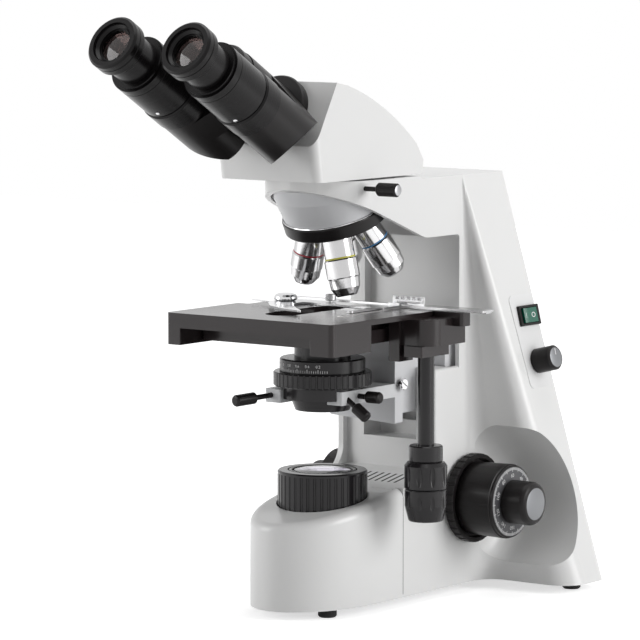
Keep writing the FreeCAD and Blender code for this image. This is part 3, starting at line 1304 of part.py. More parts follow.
def aperture_ring():
    """Fluted ring that opens the condenser's diaphragm."""
    r = CONDENSER_RING_RADIUS
    body = lathe([(28 + RUN_GAP, CONDENSER_RING_LOW), (r - 0.8, CONDENSER_RING_LOW), (r, CONDENSER_RING_LOW + 0.8),
                  (r, CONDENSER_RING_HIGH - 0.8), (r - 0.8, CONDENSER_RING_HIGH), (28 + RUN_GAP, CONDENSER_RING_HIGH)])
    flute = rod(0.9, V(r + 0.25, 0, CONDENSER_RING_LOW - 1), V(r + 0.25, 0, CONDENSER_RING_HIGH + 1))
    return body.cut(around(flute, CONDENSER_FLUTES))


def fork_arm(side, front):
    inner = FORK_BORE + 0.3
    outer = inner + FORK_ARM
    arm = slab_xy([(inner - 3, front), (outer, front), (outer, CARRIAGE_FRONT - 0.3), (inner - 3, CARRIAGE_FRONT - 0.3)],
                  FORK_LOW, FORK_HIGH, [0.8, 1.5, 0, 0])
    return arm if side > 0 else mirror_x(arm)


def condenser_fork():
    """Aluminium fork that carries the condenser and slides on the carriage."""
    back = CARRIAGE_FRONT - 0.3
    outer = FORK_BORE + 0.3 + FORK_ARM
    bridge = box(-outer, outer, 22, back, FORK_LOW, FORK_HIGH)
    body = bridge.fuse([fork_arm(1, FORK_RIGHT_FRONT), fork_arm(-1, FORK_LEFT_FRONT)])
    return body.cut([rod(FORK_BORE, V(0, 0, 100), V(0, 0, 200))] + screw_bores())


# Place on the fork, direction, length outside the fork and knob length of each screw
CONDENSER_SCREWS = {
    "centring_screw_left": (V(-25.0, -30.0, 160.5), V(-0.18, -0.98, -0.04), 36.0, 20.0),
    "centring_screw_right": (V(30.7, 4.0, 160.5), V(1, 0, 0), 20.0, 13.0),
    "condenser_clamp_screw": (V(30.7, -9.0, 158.5), V(0.82, 0, -0.57), 21.0, 14.0),
}


def thumb_screw(length, knob_length):
    """Small ribbed knob on a steel shaft, made along +Z from the face it enters."""
    knob_at = length - knob_length
    r = SCREW_KNOB_RADIUS
    shaft = Part.makeCylinder(SCREW_SHAFT_RADIUS, knob_at + SCREW_DEPTH + 1, V(0, 0, -SCREW_DEPTH))
    knob = lathe([(0, knob_at), (r - 1.4, knob_at), (r, knob_at + 1.4), (r, length - 1.6), (r - 0.6, length - 0.5),
                  (r - 1.8, length), (0, length)])
    groove = rod(0.4, V(r + 0.12, 0, knob_at + 2.5), V(r + 0.12, 0, length - 2.2))
    return shaft.fuse(knob.cut(around(groove, 12)))


def aimed(shape, at, aim):
    aim = V(aim)
    aim.normalize()
    side = aim.cross(V(0, 0, 1)).normalize()
    return put(shape, side, aim.cross(side), at)


def condenser_screw(name):
    at, aim, length, knob_length = CONDENSER_SCREWS[name]
    return aimed(thumb_screw(length, knob_length), at, aim)


def screw_bores():
    """Bores in the fork for its three screws."""
    bores = []
    for at, aim, length, knob_length in CONDENSER_SCREWS.values():
        bore = Part.makeCylinder(SCREW_SHAFT_RADIUS + SHAFT_GAP, SCREW_DEPTH + 6, V(0, 0, -SCREW_DEPTH - 0.5))
        bores.append(aimed(bore, at, aim))
    return bores


def focus_axis(shape):
    """Stand a shape made about +Z on the focus axis, pointing to the right."""
    return put(shape, V(0, 1, 0), V(0, 0, 1), V(0, FOCUS_Y, FOCUS_Z))


def tension_ring():
    """Fluted ring behind the right coarse knob that sets its stiffness."""
    r = TENSION_RADIUS
    high = TENSION_IN + TENSION_THICK
    body = lathe([(COARSE_SHAFT_RADIUS + 3, TENSION_IN), (r - 1, TENSION_IN), (r, TENSION_IN + 1), (r, high - 0.6),
                  (r - 0.6, high), (r - 3.4, high), (r - 4.4, high - 4.4), (COARSE_SHAFT_RADIUS + 3, high - 4.4)])
    flute = rod(1.4, V(r + 0.5, 0, TENSION_IN - 1), V(r + 0.5, 0, high + 1))
    return focus_axis(body.cut(around(flute, 30)))


def coarse_knob(inner, out):
    r = COARSE_RADIUS
    bore = FINE_SHAFT_RADIUS + 1.5
    knob = lathe([(COARSE_SHAFT_RADIUS, inner), (r - 2.5, inner), (r - 0.6, inner + 3), (r, out - 6), (r, out - 3),
                  (r - 0.8, out - 2.6), (r - 0.8, out - 0.6), (r - 1.6, out), (bore, out),
                  (bore, inner + 3), (COARSE_SHAFT_RADIUS, inner + 3)])
    flute = rod(1.3, V(r + 0.75, 0, inner + 6), V(r + 0.95, 0, out - 4))
    return focus_axis(knob.cut(around(flute, COARSE_FLUTES)))


def coarse_knobs():
    """Both coarse knobs and their hollow shaft; the left one sits closer, with no tension ring."""
    inner = TENSION_IN + TENSION_THICK - 4.0
    left_in = HAND_FLOOR_X + 0.5
    right = coarse_knob(inner, COARSE_OUT)
    left = mirror_x(coarse_knob(left_in, COARSE_OUT - LEFT_SHIFT))
    shaft = Part.makeCylinder(COARSE_SHAFT_RADIUS, left_in + inner + 6, V(0, 0, -left_in - 3))
    shaft = shaft.cut(Part.makeCylinder(FINE_SHAFT_RADIUS + SHAFT_GAP, 400, V(0, 0, -200)))
    return group(right, left, focus_axis(shaft))


def fine_knob(inner):
    """Small knob with a well rounded outer edge."""
    r = FINE_RADIUS
    out = inner + FINE_LENGTH
    return lathe([(0, inner), (r - 0.6, inner), (r, inner + 0.6), (r, out - 4.2), (r - 0.4, out - 2.6),
                  (r - 1.3, out - 1.2), (r - 2.6, out - 0.3), (r - 3.9, out), (0, out)])


def fine_knobs():
    """Both fine knobs on the inner shaft."""
    right_in = COARSE_OUT + RUN_GAP
    left_in = right_in - LEFT_SHIFT
    shaft = Part.makeCylinder(FINE_SHAFT_RADIUS, left_in + right_in + 2, V(0, 0, -left_in - 1))
    right = focus_axis(fine_knob(right_in))
    left = mirror_x(focus_axis(fine_knob(left_in)))
    return right.fuse([left, focus_axis(shaft)])


def lift_axis(shape):
    """Stand a shape made about +Z on the lift axis, pointing to the left."""
    return put(shape, V(0, 1, 0), V(0, 0, -1), V(-CARRIAGE_HALF, CARRIAGE_FRONT + 5, LIFT_Z))


def lift_bore():
    return lift_axis(Part.makeCylinder(LIFT_SHAFT_RADIUS + SHAFT_GAP, 12.5, V(0, 0, -12)))


def condenser_lift_knob():
    """Fluted knob on the left of the carriage that raises the condenser."""
    r = LIFT_RADIUS
    knob = lathe([(0, 0.5), (r - 1, 0.5), (r, 1.5), (r, LIFT_LENGTH - 1), (r - 1, LIFT_LENGTH), (0, LIFT_LENGTH)])
    groove = rod(1.1, V(r + 0.3, 0, 0), V(r + 0.3, 0, LIFT_LENGTH + 1))
    shaft = Part.makeCylinder(LIFT_SHAFT_RADIUS, 12, V(0, 0, -11.5))
    return lift_axis(knob.cut(around(groove, 16)).fuse(shaft))


def build():
    """Every piece by name, in the order of assembly."""
    holder, bulb, collector, mirror = lamp_parts()
    pieces = {
        "body_casting": body_casting(),
        "base_front_cover": base_front_cover(),
        "base_plate": base_plate(),
        "rubber_feet": rubber_feet(),
        "lamp_socket": holder,
        "lamp_bulb": bulb,
        "collector_lens": collector,
        "deflecting_mirror": mirror,
        "lamp_collar": lamp_collar(),
        "field_lens": field_lens(),
        "field_iris_ring": field_iris_ring(),
        "control_panel": control_panel(),
        "switch_bezel": switch_bezel(),
        "switch_rocker": switch_rocker(),
        "dimmer_knob": dimmer_knob(),
        "power_inlet": power_inlet(),
        "arm_dovetail_ring": arm_dovetail_ring(),
        "nosepiece_mount": nosepiece_mount(),
        "guide_rails": guide_rails(),
        "head_casting": head_casting(),
        "head_dovetail_foot": head_dovetail_foot(),
        "hub_plate": hub_plate(),
        "beam_splitter_prism": beam_splitter_prism(),
        "head_lock_screw": head_lock_screw(),
        "nosepiece_turret": nosepiece_turret(),
        "objective_front_lenses": front_lenses(),
        "stage_carriage": stage_carriage(),
        "stage_lower_plate": stage_lower_plate(),
        "stage_top_plate": stage_top_plate(),
        "drive_housing": drive_housing(),
        "specimen_bar": specimen_bar(),
        "specimen_holder": specimen_holder(),
        "specimen_finger": specimen_finger(),
        "x_travel_knob": x_travel_knob(),
        "y_travel_knob": y_travel_knob(),
        "condenser_fork": condenser_fork(),
        "condenser_body": condenser_body(),
        "condenser_lens": condenser_lens(),
        "aperture_ring": aperture_ring(),
        "centring_screw_left": condenser_screw("centring_screw_left"),
        "centring_screw_right": condenser_screw("centring_screw_right"),
        "condenser_clamp_screw": condenser_screw("condenser_clamp_screw"),
        "condenser_lift_knob": condenser_lift_knob(),
        "coarse_knobs": coarse_knobs(),
        "fine_knobs": fine_knobs(),
        "tension_ring": tension_ring(),
    }
    for side, word in ((-1, "left"), (1, "right")):
        pieces[word + "_prism_housing"] = prism_housing(side)
        pieces[word + "_rhomboid_prism"] = rhomboid_prism(side)
        pieces[word + "_diopter_collar"] = diopter_collar(side)
        pieces[word + "_eyepiece"] = eyepiece(side)
        pieces[word + "_eye_lens"] = eye_lens(side)
    for name, turn in zip(OBJECTIVES, seat_turns()):
        pieces[name] = objective(name, turn)
    return pieces


def main():
    os.makedirs("parts", exist_ok=True)
    pieces = build()
    front = min(shape.BoundBox.YMin for shape in pieces.values())
    back = max(shape.BoundBox.YMax for shape in pieces.values())
    shift = -(front + back) / 2
    print("moved along Y by %.3f" % shift)
    for name, shape in pieces.items():
        shape.translate(V(0, shift, 0))
        shape.exportStep("parts/%s.step" % name)
        size = shape.BoundBox
        print("%-24s solids %2d valid %s  X %7.1f %7.1f  Y %7.1f %7.1f  Z %6.1f %6.1f" % (
            name, len(shape.Solids), shape.isValid(), size.XMin, size.XMax, size.YMin, size.YMax, size.ZMin,
            size.ZMax))


main()
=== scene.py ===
# %% [markdown]
# A binocular compound microscope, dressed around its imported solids. The solids
# carry every size, so they are loaded first and are never moved. What this
# script adds is finish and small detail: enamel, chrome, coated glass, engraved
# scales, colour rings and screws.

# %% Load the solids and keep their outer box
import math

import bmesh
import bpy
from mathutils import Matrix, Vector


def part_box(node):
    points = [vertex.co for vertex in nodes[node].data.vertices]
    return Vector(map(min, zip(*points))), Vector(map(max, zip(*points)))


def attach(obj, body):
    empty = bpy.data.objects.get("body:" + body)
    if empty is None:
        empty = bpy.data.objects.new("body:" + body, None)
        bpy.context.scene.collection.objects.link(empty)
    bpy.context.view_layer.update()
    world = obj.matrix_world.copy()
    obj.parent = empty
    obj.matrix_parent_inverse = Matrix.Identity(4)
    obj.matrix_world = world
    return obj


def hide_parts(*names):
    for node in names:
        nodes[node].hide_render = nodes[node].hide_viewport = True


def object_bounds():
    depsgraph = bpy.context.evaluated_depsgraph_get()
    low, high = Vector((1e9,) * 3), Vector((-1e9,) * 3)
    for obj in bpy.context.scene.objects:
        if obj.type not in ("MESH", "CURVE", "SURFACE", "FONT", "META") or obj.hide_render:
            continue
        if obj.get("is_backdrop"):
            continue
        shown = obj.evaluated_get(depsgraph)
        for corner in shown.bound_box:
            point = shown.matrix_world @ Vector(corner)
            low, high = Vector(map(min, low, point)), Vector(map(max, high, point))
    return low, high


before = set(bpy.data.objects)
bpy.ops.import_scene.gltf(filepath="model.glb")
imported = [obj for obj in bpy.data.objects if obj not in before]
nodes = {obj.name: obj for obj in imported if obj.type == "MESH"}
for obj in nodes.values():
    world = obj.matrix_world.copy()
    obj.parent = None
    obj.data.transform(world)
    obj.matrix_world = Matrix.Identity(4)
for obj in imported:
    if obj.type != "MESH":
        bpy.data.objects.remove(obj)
cad_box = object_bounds()

# %% [markdown]
# All sizes below are written in millimetres, as on a drawing, and MM turns them
# into Blender's metres. The optical axis goes through the middle of the field
# lens, so its place along Y is read from that node.

# %% Units and the two main axes
MM = 0.001


def middle(node):
    """Centre of a solid's box, in metres."""
    low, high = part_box(node)
    return (Vector(low) + Vector(high)) / 2


AXIS_Y = middle("field_lens").y
print("optical axis at Y = %.2f mm" % (AXIS_Y / MM))


def place(x, y, z):
    """A point given in millimetres from the foot of the optical axis."""
    return Vector((x * MM, AXIS_Y + y * MM, z * MM))


# %% [markdown]
# Effects that several finishes share are shader groups. A group could hold the
# whole shader, but then its material couldn't be exported, so each one puts out
# masks and heights only. The first is sprayed enamel: it dries with a very fine
# waviness and a gloss that drifts from place to place, which are two noises.

# %% Shared effect: enamel grain
GRAIN_DETAIL = 2.0
GLOSS_PATCHES = 18.0


def group_tree(name, inputs):
    """A shader group with the given inputs, which puts out a height and a roughness."""
    tree = bpy.data.node_groups.new(name, "ShaderNodeTree")
    for label, kind, value in inputs:
        socket = tree.interface.new_socket(label, in_out="INPUT", socket_type=kind)
        socket.default_value = value
    for label in ("Height", "Roughness"):
        tree.interface.new_socket(label, in_out="OUTPUT", socket_type="NodeSocketFloat")
    start = tree.nodes.new("NodeGroupInput")
    end = tree.nodes.new("NodeGroupOutput")
    return tree, start, end


def math_node(tree, operation):
    node = tree.nodes.new("ShaderNodeMath")
    node.operation = operation
    return node


def gloss_output(tree, start, end, mask):
    """Roughness = mask * Spread + Base."""
    spread = math_node(tree, "MULTIPLY_ADD")
    tree.links.new(mask, spread.inputs[0])
    tree.links.new(start.outputs["Spread"], spread.inputs[1])
    tree.links.new(start.outputs["Base"], spread.inputs[2])
    tree.links.new(spread.outputs[0], end.inputs["Roughness"])


def enamel_grain_group():
    tree, start, end = group_tree("enamel grain", [
        ("Scale", "NodeSocketFloat", 900.0),
        ("Spread", "NodeSocketFloat", 0.1),
        ("Base", "NodeSocketFloat", 0.4)])
    where = tree.nodes.new("ShaderNodeTexCoord")
    fine = tree.nodes.new("ShaderNodeTexNoise")
    fine.inputs["Detail"].default_value = GRAIN_DETAIL
    broad = tree.nodes.new("ShaderNodeTexNoise")
    broad.inputs["Scale"].default_value = GLOSS_PATCHES
    link = tree.links.new
    link(where.outputs["Object"], fine.inputs["Vector"])
    link(where.outputs["Object"], broad.inputs["Vector"])
    link(start.outputs["Scale"], fine.inputs["Scale"])
    link(fine.outputs["Fac"], end.inputs["Height"])
    gloss_output(tree, start, end, broad.outputs["Fac"])
    return tree


ENAMEL_GRAIN = enamel_grain_group()
print("group:", ENAMEL_GRAIN.name)

# %% [markdown]
# Turned metal keeps hair lines from the lathe, and they run round its axis. A
# noise that varies only along that axis gives rings without any texture map, so
# it suits a knob as well as a tilted tube: each material names its own axis.

# %% Shared effect: turning lines
LINE_DETAIL = 3.0


def turning_lines_group():
    """Hair lines at right angles to Direction, the axis the piece was turned about."""
    tree, start, end = group_tree("turning lines", [
        ("Direction", "NodeSocketVector", (0.0, 0.0, 1.0)),
        ("Lines", "NodeSocketFloat", 2500.0),
        ("Spread", "NodeSocketFloat", 0.15),
        ("Base", "NodeSocketFloat", 0.25)])
    where = tree.nodes.new("ShaderNodeTexCoord")
    along = tree.nodes.new("ShaderNodeVectorMath")
    along.operation = "DOT_PRODUCT"
    lines = tree.nodes.new("ShaderNodeTexNoise")
    lines.noise_dimensions = "1D"
    lines.inputs["Detail"].default_value = LINE_DETAIL
    link = tree.links.new
    link(where.outputs["Object"], along.inputs[0])
    link(start.outputs["Direction"], along.inputs[1])
    link(along.outputs["Value"], lines.inputs["W"])
    link(start.outputs["Lines"], lines.inputs["Scale"])
    link(lines.outputs["Fac"], end.inputs["Height"])
    gloss_output(tree, start, end, lines.outputs["Fac"])
    return tree


TURNING_LINES = turning_lines_group()
print("group:", TURNING_LINES.name)

# %% [markdown]
# Each finish is one material: a Principled BSDF with plain values, and one of
# the effects put in front of it. The effect's height goes through a Bump node,
# since real displacement would be far too heavy for hair lines.

# %% A material and its effect
def blank(name, color, rough, metal=0.0, **sockets):
    """A material with plain socket values."""
    mat = bpy.data.materials.new(name)
    mat.use_nodes = True
    shader = mat.node_tree.nodes["Principled BSDF"]
    shader.inputs["Base Color"].default_value = (*color, 1.0)
    shader.inputs["Roughness"].default_value = rough
    shader.inputs["Metallic"].default_value = metal
    for label, value in sockets.items():
        shader.inputs[label.replace("_", " ")].default_value = value
    return mat


def add_effect(mat, group, depth, **values):
    """Place a shared effect in a material: roughness and a fine bump."""
    tree = mat.node_tree
    shader = tree.nodes["Principled BSDF"]
    effect = tree.nodes.new("ShaderNodeGroup")
    effect.node_tree = group
    for label, value in values.items():
        effect.inputs[label].default_value = value
    bump = tree.nodes.new("ShaderNodeBump")
    bump.inputs["Distance"].default_value = depth
    bump.inputs["Strength"].default_value = 1.0
    tree.links.new(effect.outputs["Height"], bump.inputs["Height"])
    tree.links.new(bump.outputs["Normal"], shader.inputs["Normal"])
    tree.links.new(effect.outputs["Roughness"], shader.inputs["Roughness"])
    return mat


print("effects to choose from:", ENAMEL_GRAIN.name, "and", TURNING_LINES.name)

# %% [markdown]
# The materials could be built one by one, but most of them differ only in
# colour, gloss and grain, so four short makers build them all: enamel, turned
# metal or plastic, polished metal, and glass. Base is set so that the mean
# roughness is the one asked for.

# %% Material makers
ENAMEL_SPREAD = 0.08
TURNED_SPREAD = 0.12
GLASS_SPREAD = 0.02
GLASS_GRAIN = 120.0
GLASS_DEPTH = 0.0000005
GLASS_INDEX = 1.5
COAT_ROUGH = 0.2


def enamel(name, color, rough, coat=0.0, depth=0.00001, scale=900.0, shine=0.5):
    """Sprayed or moulded surface. Shine is the specular level of its reflections."""
    mat = blank(name, color, rough,
                Coat_Weight=coat, Coat_Roughness=COAT_ROUGH, Specular_IOR_Level=shine)
    return add_effect(mat, ENAMEL_GRAIN, depth,
                      Scale=scale, Spread=ENAMEL_SPREAD, Base=rough - ENAMEL_SPREAD / 2)


def turned(name, color, rough, metal, direction, depth=0.000004, shine=0.5):
    """Surface from a lathe, with lines round the axis that direction gives."""
    mat = blank(name, color, rough, metal, Specular_IOR_Level=shine)
    return add_effect(mat, TURNING_LINES, depth,
                      Direction=direction, Spread=TURNED_SPREAD, Base=rough - TURNED_SPREAD / 2)


def metal(name, color, rough, depth=0.0000015, scale=600.0):
    """Polished metal whose gloss varies a little, as if wiped."""
    mat = blank(name, color, rough, 1.0)
    return add_effect(mat, ENAMEL_GRAIN, depth,
                      Scale=scale, Spread=ENAMEL_SPREAD, Base=rough - ENAMEL_SPREAD / 2)


def glass(name, tint, rough=0.02):
    """Coated glass with faint unevenness in its polish."""
    mat = blank(name, tint, rough, 0.0, Transmission_Weight=1.0, IOR=GLASS_INDEX)
    return add_effect(mat, ENAMEL_GRAIN, GLASS_DEPTH,
                      Scale=GLASS_GRAIN, Spread=GLASS_SPREAD, Base=rough)


print("makers: enamel, turned, metal, glass")

# %% [markdown]
# The stand is sprayed off-white with a thin clear coat, and the working parts
# are black. Real blacks reflect little, so their shine is set low; with the
# default level every edge would look grey. The stage is smoother than the
# housings, and the anodised tubes keep their turning lines.

# %% The finishes
TUBE_TILT = math.radians(30)
TUBE_WAY = (0.0, -math.cos(TUBE_TILT), math.sin(TUBE_TILT))
UPRIGHT = (0.0, 0.0, 1.0)

WHITE = enamel("light enamel", (0.80, 0.80, 0.795), 0.36, coat=0.25)
PANEL = enamel("panel plate", (0.80, 0.80, 0.80), 0.3)
GREY = enamel("grey enamel", (0.66, 0.665, 0.68), 0.4)
ALUMINIUM = enamel("satin aluminium", (0.66, 0.67, 0.68), 0.35)
BLACK = enamel("black enamel", (0.0085, 0.0072, 0.0074), 0.32,
               depth=0.000006, scale=1500.0, shine=0.2)
STAGE_BLACK = enamel("stage enamel", (0.0200, 0.0150, 0.0155), 0.2,
                     depth=0.000002, scale=1800.0, shine=0.36)
KNOB_BLACK = enamel("moulded knob", (0.0105, 0.009, 0.0092), 0.34,
                    depth=0.000008, scale=2000.0, shine=0.2)
RUBBER = enamel("foot rubber", (0.01, 0.01, 0.01), 0.7, depth=0.00003, scale=1200.0, shine=0.3)
GREEN = enamel("green lens", (0.0, 0.115, 0.07), 0.2, coat=0.4)
TUBE_BLACK = turned("anodised tube", (0.006, 0.0052, 0.0056), 0.27, 0.0, TUBE_WAY, shine=0.18)
POST_BLACK = turned("turned black", (0.0125, 0.0112, 0.0125), 0.22, 0.0, UPRIGHT, shine=0.3)
CHROME = metal("bright chrome", (0.70, 0.70, 0.71), 0.13)
STEEL = metal("ground steel", (0.50, 0.50, 0.505), 0.24)
MIRROR = metal("mirror", (0.9, 0.9, 0.9), 0.05)
LENS_LILAC = glass("coated field lens", (0.82, 0.78, 0.92))
LENS_WARM = glass("coated eye lens", (0.36, 0.25, 0.235))
GLASS = glass("clear glass", (0.9, 0.93, 0.95))
print("materials so far", len(bpy.data.materials))

# %% [markdown]
# One table says which solid wears which finish, so a colour is changed in one
# place. The solids come in without a material of their own. Their meshes are
# left as they are and only get one slot each.

# %% Which solid wears which finish
FINISHES = [
    (WHITE, ["body_casting", "base_front_cover", "head_casting"]),
    (GREY, ["base_plate", "nosepiece_mount", "stage_carriage"]),
    (ALUMINIUM, ["condenser_fork", "lamp_socket"]),
    (STAGE_BLACK, ["stage_top_plate", "stage_lower_plate", "drive_housing"]),
    (BLACK, ["arm_dovetail_ring", "nosepiece_turret", "hub_plate",
             "left_prism_housing", "right_prism_housing"]),
    (TUBE_BLACK, ["left_diopter_collar", "right_diopter_collar",
                  "left_eyepiece", "right_eyepiece"]),
    (POST_BLACK, ["condenser_body", "aperture_ring", "x_travel_knob", "y_travel_knob",
                  "lamp_collar", "field_iris_ring"]),
    (KNOB_BLACK, ["coarse_knobs", "fine_knobs", "tension_ring", "dimmer_knob",
                  "head_lock_screw", "condenser_lift_knob", "centring_screw_left",
                  "centring_screw_right", "condenser_clamp_screw", "switch_bezel",
                  "power_inlet"]),
    (RUBBER, ["rubber_feet"]),
    (CHROME, ["specimen_finger"]),
    (STEEL, ["guide_rails", "head_dovetail_foot", "specimen_bar", "specimen_holder"]),
    (GREEN, ["switch_rocker"]),
    (LENS_LILAC, ["field_lens"]),
    (LENS_WARM, ["left_eye_lens", "right_eye_lens"]),
    (GLASS, ["lamp_bulb", "collector_lens", "beam_splitter_prism", "left_rhomboid_prism",
             "right_rhomboid_prism", "objective_front_lenses", "condenser_lens"]),
    (MIRROR, ["deflecting_mirror"]),
    (PANEL, ["control_panel"]),
]


def paint(name, mat):
    """Give a solid its one material."""
    mesh = nodes[name].data
    mesh.materials.clear()
    mesh.materials.append(mat)


for finish, names in FINISHES:
    for name in names:
        paint(name, finish)
print("painted", sum(len(names) for _, names in FINISHES), "of", len(nodes),
      "solids, the objectives come later")

# %% [markdown]
# Small parts stand on the solids in their own directions: along the eyepiece
# tubes, down the objectives, out of the knobs. Objects could be turned and
# parented, but a piece here keeps its place in its mesh. So each direction is
# one matrix whose Z axis points outward, and a part is drawn round Z and then
# carried there. The first such frame stands on the optical axis.

# %% Directions
def frame_at(at, z_way, x_way):
    """Matrix with its origin at a point and its Z and X axes along the given ways."""
    z_axis = Vector(z_way).normalized()
    x_axis = (Vector(x_way) - z_axis * Vector(x_way).dot(z_axis)).normalized()
    y_axis = z_axis.cross(x_axis)
    matrix = Matrix((x_axis, y_axis, z_axis)).transposed().to_4x4()
    matrix.translation = at
    return matrix


def upright_frame(x, y, z):
    """A frame that stands up, with X to the operator's right."""
    return frame_at(place(x, y, z), (0, 0, 1), (1, 0, 0))


axis_frame = upright_frame(0, 0, 0)
print("the optical axis stands at", [round(v, 4) for v in axis_frame.translation])

# %% [markdown]
# Caps, rings and screws are round, so one helper turns an outline about Z, as a
# lathe would. A Screw modifier could do it too, and would need its poles merged
# in the same way. Every piece then rides on the body that it is fixed to, so it
# moves with that body at each pose.

# %% Turned pieces
SHARP_ANGLE = 35.0
MERGE = 1e-7
SLIVER = 1e-8


def finished(bm, name):
    """Turn a bmesh into a mesh and free it."""
    mesh = bpy.data.meshes.new(name)
    bm.to_mesh(mesh)
    bm.free()
    return mesh


def add_mesh(name, mesh, mat, body):
    """Link a finished mesh as a piece that rides on a body."""
    mesh.materials.clear()
    mesh.materials.append(mat)
    obj = bpy.data.objects.new(name.replace(" ", "_"), mesh)
    bpy.context.collection.objects.link(obj)
    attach(obj, body)
    return obj


def smooth(mesh):
    """Smooth shading, with edges kept sharp above an angle."""
    for polygon in mesh.polygons:
        polygon.use_smooth = True
    mesh.set_sharp_from_angle(angle=math.radians(SHARP_ANGLE))
    return mesh


def lathe_mesh(name, outline, steps=64):
    """A ring or disc turned about Z from a closed outline of (radius, height)."""
    bm = bmesh.new()
    turns = []
    for i in range(steps):
        a = 2 * math.pi * i / steps
        turns.append([bm.verts.new((r * MM * math.cos(a), r * MM * math.sin(a), z * MM))
                      for r, z in outline])
    count = len(outline)
    for i in range(steps):
        here, there = turns[i], turns[(i + 1) % steps]
        for j in range(count):
            k = (j + 1) % count
            bm.faces.new((here[j], there[j], there[k], here[k]))
    bmesh.ops.remove_doubles(bm, verts=bm.verts, dist=MERGE)
    bmesh.ops.dissolve_degenerate(bm, edges=bm.edges, dist=SLIVER)
    bmesh.ops.recalc_face_normals(bm, faces=bm.faces)
    return finished(bm, name)


def lathe_piece(name, outline, matrix, mat, body, steps=64):
    """A turned piece on a frame."""
    mesh = smooth(lathe_mesh(name, outline, steps))
    mesh.transform(matrix)
    return add_mesh(name, mesh, mat, body)


print("lathe helper is ready")

# %% [markdown]
# Graduations repeat one small bar, so a Geometry Nodes tree makes them: points
# by index, one kind of bar for every division and a longer one for every fifth
# or tenth. A Python loop would do as well, but here the count, the step and the
# bars stay named inputs, with sizes in metres and the turn in radians.

# %% Geometry Nodes: the inputs of a graduated scale
SCALE_INPUTS = (
    ("Count", "NodeSocketInt", 10),
    ("Every", "NodeSocketInt", 5),
    ("Turn", "NodeSocketFloat", 0.0),
    ("Step", "NodeSocketVector", (0, 0, 0)),
    ("Start", "NodeSocketVector", (0, 0, 0)),
    ("Bar", "NodeSocketVector", (1, 1, 1)),
    ("Long Bar", "NodeSocketVector", (1, 1, 1)),
    ("Long Shift", "NodeSocketVector", (0, 0, 0)),
    ("Finish", "NodeSocketMaterial", None),
)


def scale_sockets(tree):
    """Add the inputs and the output, and return each input's identifier."""
    sockets = {}
    for label, kind, value in SCALE_INPUTS:
        socket = tree.interface.new_socket(label, in_out="INPUT", socket_type=kind)
        if value is not None:
            socket.default_value = value
        sockets[label] = socket.identifier
    tree.interface.new_socket("Geometry", in_out="OUTPUT", socket_type="NodeSocketGeometry")
    return sockets


print("scale inputs", len(SCALE_INPUTS))

# %% [markdown]
# Each bar stands on one point of a line. The same tree serves circles and
# straight scales, since a step can turn, move or both: on a circle the line has
# no length, and each copy is turned by its index instead. The remainder of the
# index tells the long bars from the short ones.

# %% Geometry Nodes: which bars are long, and how far each one turns
HALF_A_STEP = 0.5


def turn_of(tree, start, index):
    """Rotation about Z that grows by Turn from bar to bar."""
    angle = math_node(tree, "MULTIPLY")
    spin = tree.nodes.new("ShaderNodeCombineXYZ")
    tree.links.new(index.outputs[0], angle.inputs[0])
    tree.links.new(start.outputs["Turn"], angle.inputs[1])
    tree.links.new(angle.outputs[0], spin.inputs["Z"])
    return spin.outputs[0]


def long_and_short(tree, start, index):
    """Two masks: the bars whose index divides by Every, and the others."""
    rest = math_node(tree, "MODULO")
    is_long = tree.nodes.new("FunctionNodeCompare")
    is_long.data_type = "FLOAT"
    is_long.operation = "LESS_THAN"
    is_long.inputs["B"].default_value = HALF_A_STEP
    is_short = tree.nodes.new("FunctionNodeBooleanMath")
    is_short.operation = "NOT"
    tree.links.new(index.outputs[0], rest.inputs[0])
    tree.links.new(start.outputs["Every"], rest.inputs[1])
    tree.links.new(rest.outputs[0], is_long.inputs["A"])
    tree.links.new(is_long.outputs[0], is_short.inputs[0])
    return is_long.outputs[0], is_short.outputs[0]


print("a bar is long where its remainder is under", HALF_A_STEP)

# %% [markdown]
# The tree ends in Realize Instances and Set Material, because the export keeps
# only real faces. Copies of one small cube are cheap until then.

# %% Geometry Nodes: the tree of a graduated scale
def scale_tree():
    tree = bpy.data.node_groups.new("graduated scale", "GeometryNodeTree")
    sockets = scale_sockets(tree)
    make = tree.nodes.new
    link = tree.links.new
    start = make("NodeGroupInput")
    end = make("NodeGroupOutput")
    line = make("GeometryNodeMeshLine")
    line.mode = "OFFSET"
    link(start.outputs["Count"], line.inputs["Count"])
    link(start.outputs["Step"], line.inputs["Offset"])
    index = make("GeometryNodeInputIndex")
    spin = turn_of(tree, start, index)
    is_long, is_short = long_and_short(tree, start, index)
    long_start = make("ShaderNodeVectorMath")
    long_start.operation = "ADD"
    link(start.outputs["Start"], long_start.inputs[0])
    link(start.outputs["Long Shift"], long_start.inputs[1])
    join = make("GeometryNodeJoinGeometry")
    for label, chosen, at in (("Bar", is_short, start.outputs["Start"]),
                              ("Long Bar", is_long, long_start.outputs[0])):
        cube = make("GeometryNodeMeshCube")
        link(start.outputs[label], cube.inputs["Size"])
        move = make("GeometryNodeTransform")
        link(cube.outputs["Mesh"], move.inputs["Geometry"])
        link(at, move.inputs["Translation"])
        copies = make("GeometryNodeInstanceOnPoints")
        link(line.outputs["Mesh"], copies.inputs["Points"])
        link(move.outputs["Geometry"], copies.inputs["Instance"])
        link(chosen, copies.inputs["Selection"])
        link(spin, copies.inputs["Rotation"])
        link(copies.outputs[0], join.inputs[0])
    real = make("GeometryNodeRealizeInstances")
    link(join.outputs[0], real.inputs[0])
    finish_node = make("GeometryNodeSetMaterial")
    link(real.outputs[0], finish_node.inputs["Geometry"])
    link(start.outputs["Finish"], finish_node.inputs["Material"])
    link(finish_node.outputs[0], end.inputs[0])
    return tree, sockets


